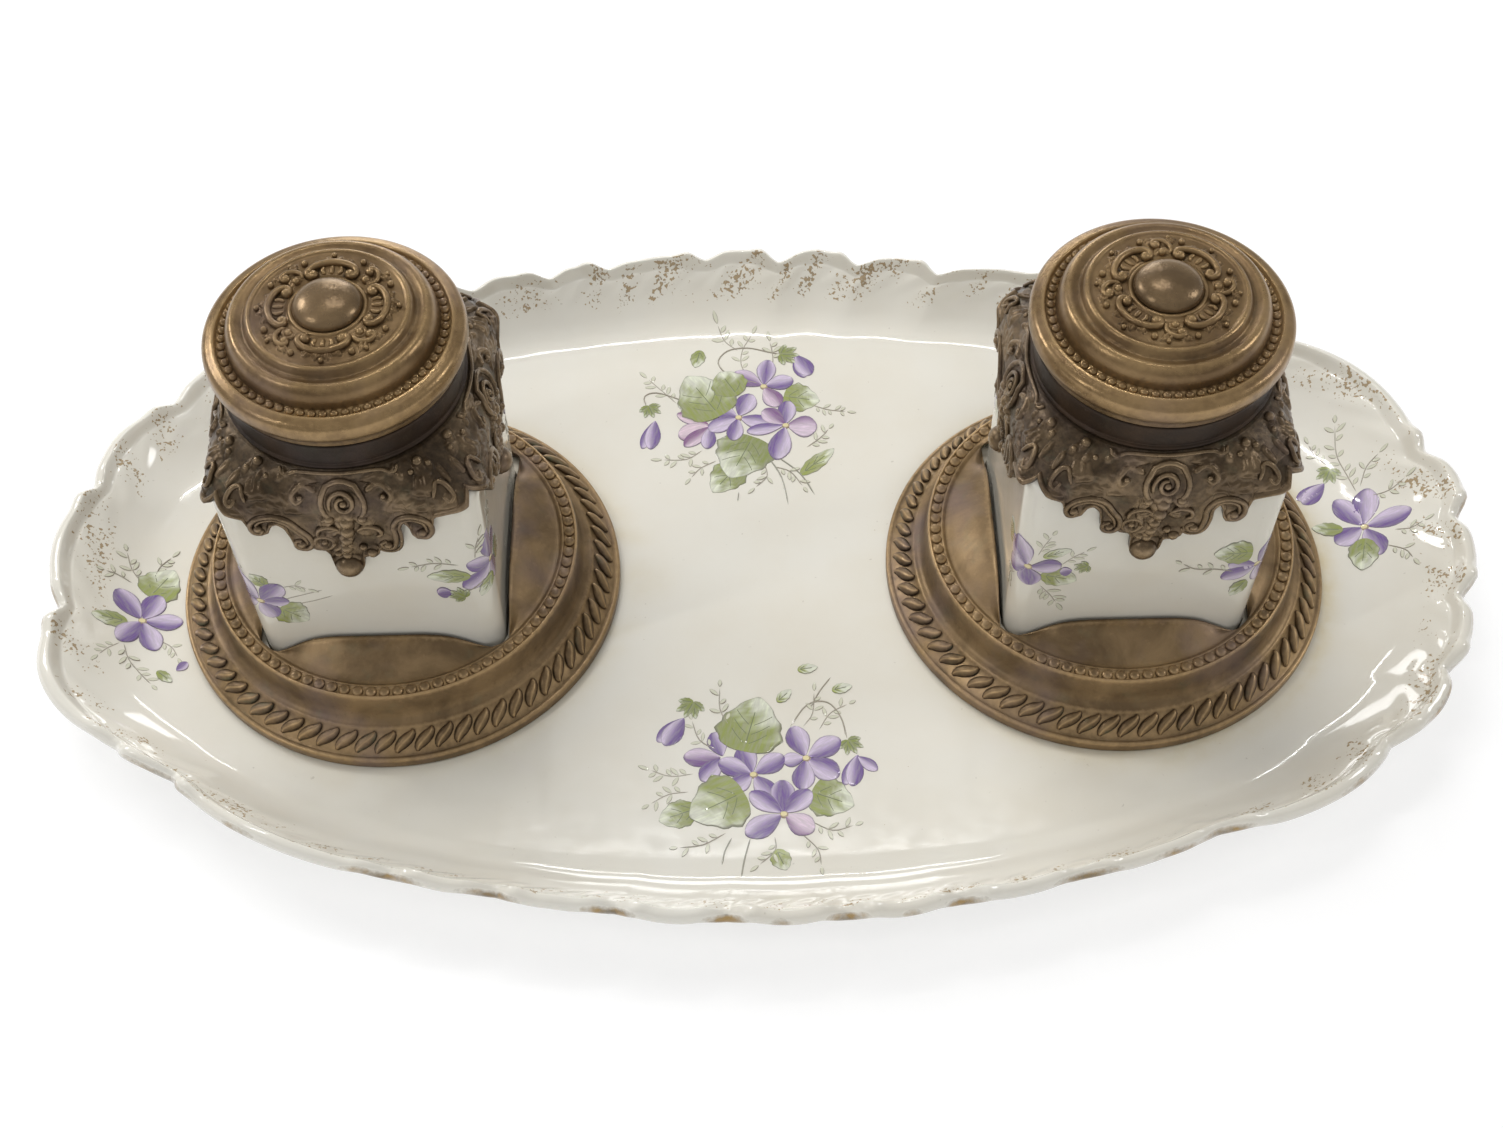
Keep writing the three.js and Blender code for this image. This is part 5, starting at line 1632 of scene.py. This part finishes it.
def hoodSpot(s, climb, lift):
    # places on the front of the hood: mm right of its middle, mm above the saucer's foot along the skin
    s, climb = np.asarray(s, float), np.asarray(climb, float)
    angle = np.arctan(s / hood["faceHalf"]) - math.pi / 2
    height = saucerFoot + climb
    crease, rise = hood["creaseLevel"], hood["shoulderRise"]

    def at(turn, level):
        radius = hoodGround(np.minimum(level, crease), turn)
        share = np.clip((level - crease) / np.hypot(radius - hood["neckFoot"], rise), 0, 1)
        radius = radius + (hood["neckFoot"] - radius) * share
        up = np.minimum(level, crease) + rise * np.interp(share, shoulderLine[:, 0], shoulderLine[:, 1])
        return np.stack([radius * np.cos(turn), radius * np.sin(turn), up], -1)

    spot = at(angle, height)
    normal = unit(np.cross(at(angle + 0.01, height) - at(angle - 0.01, height),
                           at(angle, height + 0.3) - at(angle, height - 0.3)))
    return spot + normal * lift, normal


def hoodOrnament():
    # the rods and balls of one side of a hood
    parts = []

    def lay(line, thick, lift, ends=0.6, offset=0.0):
        line = evenly(np.asarray(line, float), max(10, int(len(line) * 0.8)))
        if offset:
            line = line + leftOf(line) * offset
        share = np.linspace(-1, 1, len(line))
        radii = thick * (ends + (1 - ends) * (1 - share**2) ** 0.5)
        path, normal = hoodSpot(line[:, 0], line[:, 1], lift)
        parts.append(rod(path, radii, normal))

    def drop(s, climb, radius, lift=0.3, flatten=0.9):
        middle, normal = hoodSpot([s], [climb], lift)
        parts.append(ball(middle[0], radius, normal[0], flatten))

    for line in hoodScrolls:
        lay(line, 0.62, 0.5)
        inner = line[10:-14]
        lay(inner, 0.42, 0.45, 0.5, offset=-1.0)
    for s, climb in ((-15.6, 51.1), (-8.6, 46.4), (6.9, 45.6), (13.6, 49.0)):
        drop(s, climb, 0.85, 0.6)
    angles = np.linspace(0, 2 * math.pi, 25)
    lay(np.stack([-4.5 + 1.75 * np.cos(angles), 46.6 + 1.75 * np.sin(angles)], 1), 0.5, 0.5, 1.0)
    drop(-4.5, 46.6, 0.7, 0.4)
    angles = np.linspace(-0.95, math.pi + 0.95, 27)
    lay(np.stack([0.5 + 4.0 * np.cos(angles), 56.4 + 4.0 * np.sin(angles)], 1), 0.62, 0.45, 0.7)
    share = np.linspace(0, 1, 34)
    angles, radius = math.pi * (1.15 - 2.7 * share), 2.75 - 1.85 * share**0.8
    lay(np.stack([0.5 + radius * np.cos(angles), 56.3 + radius * np.sin(angles)], 1), 0.5, 0.45, 0.6)
    drop(0.6, 56.2, 0.7, 0.4)
    for lean in (-1, 1):
        drop(0.5 + lean * 3.0, 53.2, 0.95, 0.5)
        brow = through([(0.5 + lean * 5.3, 59.0), (0.5 + lean * 7.6, 59.4), (0.5 + lean * 9.2, 58.0),
                        (0.5 + lean * 8.5, 56.7), (0.5 + lean * 7.4, 57.2)])
        lay(brow, 0.45, 0.35, 0.5)
        drop(0.5 + lean * 7.7, 57.6, 0.55, 0.35)
        wing = through([(0.4 + lean * 1.4, 49.6), (0.4 + lean * 3.2, 50.8), (0.4 + lean * 5.2, 50.2),
                        (0.4 + lean * 5.8, 48.6), (0.4 + lean * 4.8, 47.9)])
        lay(wing, 0.48, 0.45, 0.5)
        curl = through([(lean * 17.2, 57.0), (lean * 18.6, 58.8), (lean * 20.8, 58.6), (lean * 21.4, 56.8),
                        (lean * 20.0, 56.0), (lean * 19.2, 57.0)])
        lay(curl, 0.5, 0.35, 0.5)
    for s, climb, radius in ((0.4, 52, 1.45), (0.1, 49.4, 1.5), (-0.4, 46.9, 1.25), (-0.8, 44.7, 1.25),
                             (-1.1, 42.7, 1.05)):
        drop(s, climb, radius, 0.2)
    drop(-1.3, 39.6, 2.55, 0.35, 0.85)
    drop(3.6, 43.3, 1.1, 0.35)
    drop(2.2, 44.9, 0.8, 0.35)
    drop(-2.6, 43.2, 0.8, 0.35)
    bar = through([(-11.9, 62.7), (-11.2, 61.6), (-9.8, 61.4), (-8, 61.9), (-4, 62), (4, 62),
                   (9, 61.9), (10.8, 61.4), (12.2, 61.6), (12.9, 62.7)])
    lay(bar, 0.42, 0.2, 0.8)
    for s, climb, radius in ((-18.4, 63.2, 1), (18, 62.6, 1), (-20.6, 61.5, 0.7), (20.4, 61.6, 0.7),
                             (-14.6, 61, 0.6), (15.2, 61, 0.6)):
        drop(s, climb, radius, 0.1)
    return joined(parts)


def makeHoodScrolls(side):
    one = hoodOrnament()
    copies = []
    for quarter in range(4):
        c, s = math.cos(quarter * math.pi / 2), math.sin(quarter * math.pi / 2)
        turned = one["points"] @ np.array([[c, s, 0], [-s, c, 0], [0, 0, 1]])
        copies.append({**one, "points": turned + (*stackMiddle[side], 0)})
    makePiece(side + "_hood_scrolls", joined(copies), hoodBrass, side + "_inkwell", "dark_brass")


for side in sides:
    makeHood(side)
    makeHoodScrolls(side)
print("hoods ready")


# Neck rings

neck = {"wall": 1.4, "columns": 160}


def makeNeck(side):
    low, high = neckLow[2], neckHigh[2]
    outer = (neckHigh[0] - neckLow[0]) / 2
    plain = outer - 0.3  # the band above its foot lip
    inner = plain - neck["wall"]
    outline = [
        (inner, low), (outer - 0.1, low), (outer, low + 0.25), (outer - 0.1, low + 0.6),
        (outer - 0.45, low + 0.85), (outer - 0.35, low + 1.3), (plain, high - 0.9), (plain, high - 0.3),
        (outer - 0.55, high), (inner + 0.3, high), (inner, high - 0.3),
    ]
    rows = latheRows(rounded(outline, 2, closed=True), neck["columns"], stackMiddle[side])
    part = outwards(skin(rows, wrapRows=True))
    makePiece(side + "_neck_band", part, neckBrass, side + "_inkwell", "dark_brass", side + "_neck_ring")


for side in sides:
    makeNeck(side)


# Ink pots

pot = {"radius": 15.6, "wall": 2.0, "depth": 45.0, "flange": 18.8, "flangeHeight": 1.5, "columns": 96}


def makePot(side):
    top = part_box(side + "_ink_pot")[1].z / mm
    foot = top - pot["depth"]
    inner = pot["radius"] - pot["wall"]
    outline = np.array([
        (0, foot), (pot["radius"] - 1.5, foot), (pot["radius"], foot + 1.5), (pot["radius"], top - 2.2),
        (pot["radius"], top - pot["flangeHeight"]), (pot["flange"], top - pot["flangeHeight"]),
        (pot["flange"], top - 0.3), (pot["flange"] - 0.6, top), (inner + 0.8, top), (inner, top - 1.0),
        (inner, foot + 5), (inner - 3, foot + 2.2), (0, foot + 2.0),
    ])
    line = np.vstack([outline[:1], rounded(outline[1:-1], 2), outline[-1:]])
    part = outwards(skin(latheRows(line, pot["columns"], stackMiddle[side])))
    makePiece(side + "_liner_pot", part, linerPorcelain, side + "_inkwell", "liner_porcelain",
              side + "_ink_pot")


for side in sides:
    makePot(side)
print("necks and pots ready")


# Lids

lid = {
    "turns": 432,
    "foot": lidLow[2],
    "beads": 64,
    "beadRing": 19.3,
    "beadRadius": 0.8,
    "beadSquash": 0.8,
    "beadHeight": 6.0,
    "relief": 1.05,
    "ringInner": 7.3,  # the ring of scrolls on the disc round the button
    "ringOuter": 12.6,
    "ringRows": 52,
    "ringGround": 0.42,  # relief value where nothing is raised
    "discTop": 11.15,
    "turn": {"left": 0.0, "right": 0.785},
}
# radius, height above the foot of the lid, relief; the relief is raised along the tops of the rings as
# painted highlights, and high in the bead channel as rubbed wear
lidOutline = np.array([
    (20.6, 0.4, 0.2), (21.4, 0, 0.35), (21.5, 0.5, 0.35), (21.5, 1.3, 0.2), (21.6, 1.8, 0.2),
    (22.3, 2.2, 0.45), (22.95, 3.1, 0.6), (22.95, 4.4, 0.68), (22.75, 5.5, 0.72), (22.1, 6.15, 0.7),
    (21.3, 6.4, 0.62), (20.85, 6.55, 0.85), (20.5, 6.6, 0.95), (20.25, 6.25, 0.85), (20.1, 5.95, 0.9),
    (19.4, 5.8, 1), (18.6, 5.95, 0.9), (18.45, 6.4, 0.4), (18.35, 7.6, 0.42), (18, 8.8, 0.5),
    (17.5, 9.6, 0.66), (16.9, 10.05, 0.78), (16.3, 10.1, 0.7), (15.8, 9.9, 0.5), (15.2, 9.75, 0.34),
    (14.8, 9.85, 0.34), (14.5, 10.3, 0.45), (14.2, 10.9, 0.6), (13.8, 11.2, 0.82), (13.4, 11.2, 0.7),
    (13.1, 11, 0.45), (12.7, 10.95, 0.42), (12, 11, 0.42), (10, 11.05, 0.42), (7.4, 11.1, 0.42),
    (6.9, 11.2, 0.45), (6.7, 11.55, 0.75), (6.3, 11.6, 0.6), (5.95, 11.3, 0.2), (3, 11.2, 0.2),
    (0, 11.2, 0.2),
])


def lidField(x, y, turn):
    # scrolls, shells and leaves in a ring round the button
    field = np.zeros(x.shape)
    at = np.stack([x.ravel(), y.ravel()], 1)
    flat = field.ravel()

    def polar(radius, degrees, base):
        a = base + math.radians(degrees)
        radius = lid["ringInner"] + (radius - lid["ringInner"]) * 0.88  # drawn wider than it stands
        return radius * math.cos(a), radius * math.sin(a)

    for quarter in range(4):
        base = turn + quarter * math.pi / 2
        raiseBoss(flat, at, polar(8.4, 0, base), 2.6, 0.35)
        for degrees, reach in ((-15, 12.3), (-5, 12.9), (5, 12.9), (15, 12.3)):
            root, tip = polar(10.4, degrees * 0.8, base), polar(reach, degrees * 1.1, base)
            raiseLeaf(flat, at, root, tip, 1.7, 0.6, 1)
        for lean in (-1, 1):
            raiseLeaf(flat, at, polar(10.8, 45, base), polar(12.9, 45 + lean * 14, base), 1.7, 0.65, 2)
            raiseLeaf(flat, at, polar(9.8, 45, base), polar(7.9, 45 + lean * 12, base), 1.5, 0.6)
    return flat.reshape(x.shape)


def makeLid(side):
    middle = stackMiddle[side]
    line = rounded(lidOutline, 2)
    angle = evenAngles(lid["turns"])
    # more rows where the relief ring stands
    ringIn, ringOut, ground = lid["ringInner"], lid["ringOuter"], lid["ringGround"]
    fineRadii = np.linspace(ringOut, ringIn, lid["ringRows"])
    heights = np.interp(fineRadii, line[::-1, 0], line[::-1, 1])
    ring = np.stack([fineRadii, heights, np.full(len(fineRadii), ground)], 1)
    line = np.vstack([line[line[:, 0] > ringOut], ring, line[line[:, 0] < ringIn]])
    x, y = line[:, :1] * np.cos(angle), line[:, :1] * np.sin(angle)
    z = np.repeat(line[:, 1:2], len(angle), 1) + lid["foot"]
    relief = np.repeat(line[:, 2:3], len(angle), 1)
    inRing = (line[:, 0] <= ringOut) & (line[:, 0] >= ringIn)
    field = np.zeros(x.shape)
    field[inRing] = lidField(x[inRing], y[inRing], lid["turn"][side])
    z = z + field * lid["relief"]
    foot = swell(field, 0.12, 0.1) * (field > 0.001)
    raised = np.clip(ground + 0.4 * smoothstep(0.5, 0.95, field) - 0.32 * foot, 0, 1)
    relief = np.where(inRing[:, None], raised, relief)
    outer = np.stack([middle[0] + x, middle[1] + y, z], -1)
    inside = np.array([(0, 9.6), (12.5, 9.4), (16.0, 7.8), (18.5, 5.2), (20.4, 4.6), (20.7, 3.0),
                       (20.6, 0.4)])
    inside = np.vstack([inside[:1], rounded(inside[1:-1], 1), inside[-1:]])
    lower = latheRows(inside, lid["turns"], middle) + (0, 0, lid["foot"])
    rows = np.concatenate([outer, lower[:-1]])
    reliefs = np.concatenate([relief, np.full((len(lower) - 1, len(angle)), 0.3)])
    part = outwards(skin(rows, relief=reliefs, wrapRows=True))
    body = side + "_lid"
    makePiece(side + "_stamped_lid", part, lidBrass, body, "brown_brass", side + "_lid")
    ringOf(side + "_lid_beads", lidBead, lidBrass, body, lid["beads"], lid["beadRing"],
           middle, lid["foot"] + lid["beadHeight"])


def makeLidScrolls(side):
    # rods and balls on the disc round the button
    parts = []
    outward = np.array([0.0, 0.0, 1.0])
    level = lid["foot"] + lid["discTop"]

    def at(radius, degrees, base, lift=0.0):
        turn = base + math.radians(degrees)
        x, y = stackMiddle[side]
        radius = 7.2 + (radius - 7.2) * 0.92  # drawn wider than it stands
        return (x + radius * math.cos(turn), y + radius * math.sin(turn), level + lift)

    def lay(points, thick, base, lift=0.25):
        line = evenly(through([at(r, a, base, lift) for r, a in points]), 34)
        share = np.linspace(-1, 1, len(line))
        parts.append(rod(line, thick * (0.55 + 0.45 * np.sqrt(1 - share**2)),
                         np.tile(outward, (len(line), 1))))

    for quarter in range(4):
        base = lid["turn"][side] + quarter * math.pi / 2
        lay([(8.3, -19), (7.5, -23), (8.0, -30), (9.3, -28), (10.2, -17), (10.5, 0), (10.1, 17),
             (9.2, 28), (8.0, 29), (7.6, 22), (8.4, 19)], 0.68, base, 0.35)
        lay([(7.6, -9), (8.6, -11), (9.4, -9)], 0.42, base)
        lay([(7.6, 0), (8.6, 0), (9.5, 0)], 0.48, base)
        lay([(7.6, 9), (8.6, 11), (9.4, 9)], 0.42, base)
        lay([(8.4, 36), (9.4, 35), (10.6, 38), (11.5, 45), (11.3, 52), (10.3, 53), (10.1, 48)], 0.5, base)
        for radius, degrees, size in (
            (8.1, -23, 0.95), (8.2, 23, 0.9), (8.6, 45, 0.8), (10.4, 50, 0.85), (11.9, -27, 0.6),
            (11.8, 26, 0.65), (12.6, 0, 0.5), (12.5, 38, 0.45),
        ):
            parts.append(ball(np.array(at(radius, degrees, base, 0.1)), size, outward))
    makePiece(side + "_lid_scrolls", joined(parts), lidBrass, side + "_lid", "brown_brass")


button = {"foot": 11.3, "columns": 96}


def makeButton(side):
    middle = stackMiddle[side]
    foot, top = lid["foot"] + button["foot"], buttonHigh[2] - 0.05
    outline = np.array([
        (0, foot, 0.2), (5.7, foot, 0.1), (6.0, foot + 0.2, 0.3), (6.0, foot + 0.6, 0.4),
        (5.7, foot + 1.3, 0.42), (4.8, foot + 2.05, 0.45), (3.4, foot + 2.65, 0.5),
        (1.6, top - 0.06, 0.5), (0, top, 0.5),
    ])
    line = np.vstack([outline[:1], rounded(outline[1:-1], 3), outline[-1:]])
    rows = latheRows(line[:, :2], button["columns"], middle)
    part = outwards(skin(rows, relief=np.repeat(line[:, 2:3], button["columns"], 1)))
    makePiece(side + "_domed_button", part, buttonBrass, side + "_lid", "brown_brass", side + "_lid_button")


lidBead = beadTemplate("lidBead", lid["beadRadius"], lid["beadSquash"])
for side in sides:
    makeLid(side)
    makeLidScrolls(side)
    makeButton(side)
for template in (saucerBead, ropeLobe, lidBead):
    bpy.data.objects.remove(template)
print("lids ready")


# CAD nodes that stay take their materials here

for side in sides:
    for node, material in (
        ("_plaster_bed", plaster), ("_fixed_hinge_leaf", hingeBrass), ("_hinge_pin", hingeBrass),
        ("_lid_hinge_leaf", hingeBrass), ("_lid_lining", liningBrass),
    ):
        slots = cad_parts[side + node].data.materials
        slots.clear()
        slots.append(material)


# Floor, lamps and world

studio = {
    "world": 0.28,
    "skySeen": 0.97,  # behind the object
    "skyMirrored": 0.12,
    "floorTone": (0.86, 0.86, 0.86, 1),
    "floorHalf": 3,  # in metres, as the places of the lamps
    "floorWhite": 1.2,
    "floorGlow": 0.55,  # near the object, and all white from glowTo on
    "glowFrom": 0.45,
    "glowTo": 1.3,
    # lamps that light without being mirrored: place, aim, width, depth, watts
    "softLamps": [
        ((-0.45, 0.85, 1.45), (0, 0, 0), 1.0, 1.0, 13.5),
        ((-0.2, -1.3, 0.7), (0, 0, 0.03), 0.8, 0.8, 4.3),
        ((0.1, -0.35, 0.95), (0, 0, 0), 0.3, 0.3, 1.0),
    ],
    # lamps that the glaze and the brass mirror
    "lamps": [
        ((-0.8, 0.5, 0.62), (0, 0, 0), 0.26, 0.26, 2.2),
        ((0.85, 0.1, 0.6), (0, 0, 0), 0.16, 0.3, 1.2),
        ((-0.1, 1.1, 0.27), (0, 0, 0.05), 0.5, 0.2, 1.4),
        ((0.0, 0.42, 0.97), (0, 0.06, 0), 0.4, 0.012, 0.9),
        ((-0.05, 0.86, 0.5), (0, -0.066, 0), 0.4, 0.012, 0.5),
        ((-0.75, -0.3, 0.8), (0, 0, 0), 0.02, 0.3, 1.0),
    ],
}


def makeStage():
    material, tree, surface, output = newMaterial("paleFloor")
    feed(tree, surface, "Base Color", studio["floorTone"])
    feed(tree, surface, "Roughness", 0.9)
    light = put(tree, "ShaderNodeLightPath")
    seen = calc(tree, "MAXIMUM", light.outputs["Is Camera Ray"], light.outputs["Is Glossy Ray"])
    seen = calc(tree, "MAXIMUM", seen, light.outputs["Is Transmission Ray"])
    # white all the way to the horizon
    far = put(tree, "ShaderNodeVectorMath", {0: objectPlace(tree)}, operation="LENGTH").outputs["Value"]
    glow = remap(tree, far, studio["glowFrom"], studio["glowTo"], studio["floorGlow"], 1)
    white = put(tree, "ShaderNodeEmission", {"Color": (1, 1, 1, 1), "Strength": studio["floorWhite"]})
    share = calc(tree, "MULTIPLY", seen, glow)
    mixed = put(tree, "ShaderNodeMixShader", {0: share, 1: surface.outputs[0], 2: white.outputs[0]})
    feed(tree, output, "Surface", mixed.outputs[0])
    mesh = bpy.data.meshes.new("studioFloor")
    half = studio["floorHalf"]
    corners = [(-half, -half, 0), (half, -half, 0), (half, half, 0), (-half, half, 0)]
    mesh.from_pydata(corners, [], [(0, 1, 2, 3)])
    mesh.materials.append(material)
    floor = addObject("studioFloor", mesh)


def makeLights():
    world = bpy.data.worlds.new("softWorld")
    bpy.context.scene.world = world
    world.use_nodes = True
    tree = world.node_tree
    sky = tree.nodes["Background"]
    feed(tree, sky, "Color", (1, 1, 1, 1))
    light = put(tree, "ShaderNodeLightPath").outputs
    mirrored = calc(tree, "MAXIMUM", light["Is Glossy Ray"], light["Is Transmission Ray"])
    shown = calc(tree, "MULTIPLY", mirrored, studio["skyMirrored"])
    shown = calc(tree, "MAXIMUM", shown, light["Is Camera Ray"])
    feed(tree, sky, "Strength", remap(tree, shown, 0, 1, studio["world"], studio["skySeen"]))
    lamps = studio["softLamps"] + studio["lamps"]
    for number, (place, aim, width, depth, watts) in enumerate(lamps):
        data = bpy.data.lights.new(f"softLamp{number}", "AREA")
        data.shape = "RECTANGLE"
        data.size = width
        data.size_y = depth
        data.energy = watts
        lamp = addObject(f"softLamp{number}", data)
        lamp.visible_glossy = number >= len(studio["softLamps"])
        lamp.location = place
        lamp.rotation_mode = "QUATERNION"
        lamp.rotation_quaternion = (Vector(aim) - Vector(place)).to_track_quat("-Z", "Y")


makeStage()
makeLights()
bpy.context.scene.view_settings.view_transform = "Standard"

print("scene ready")
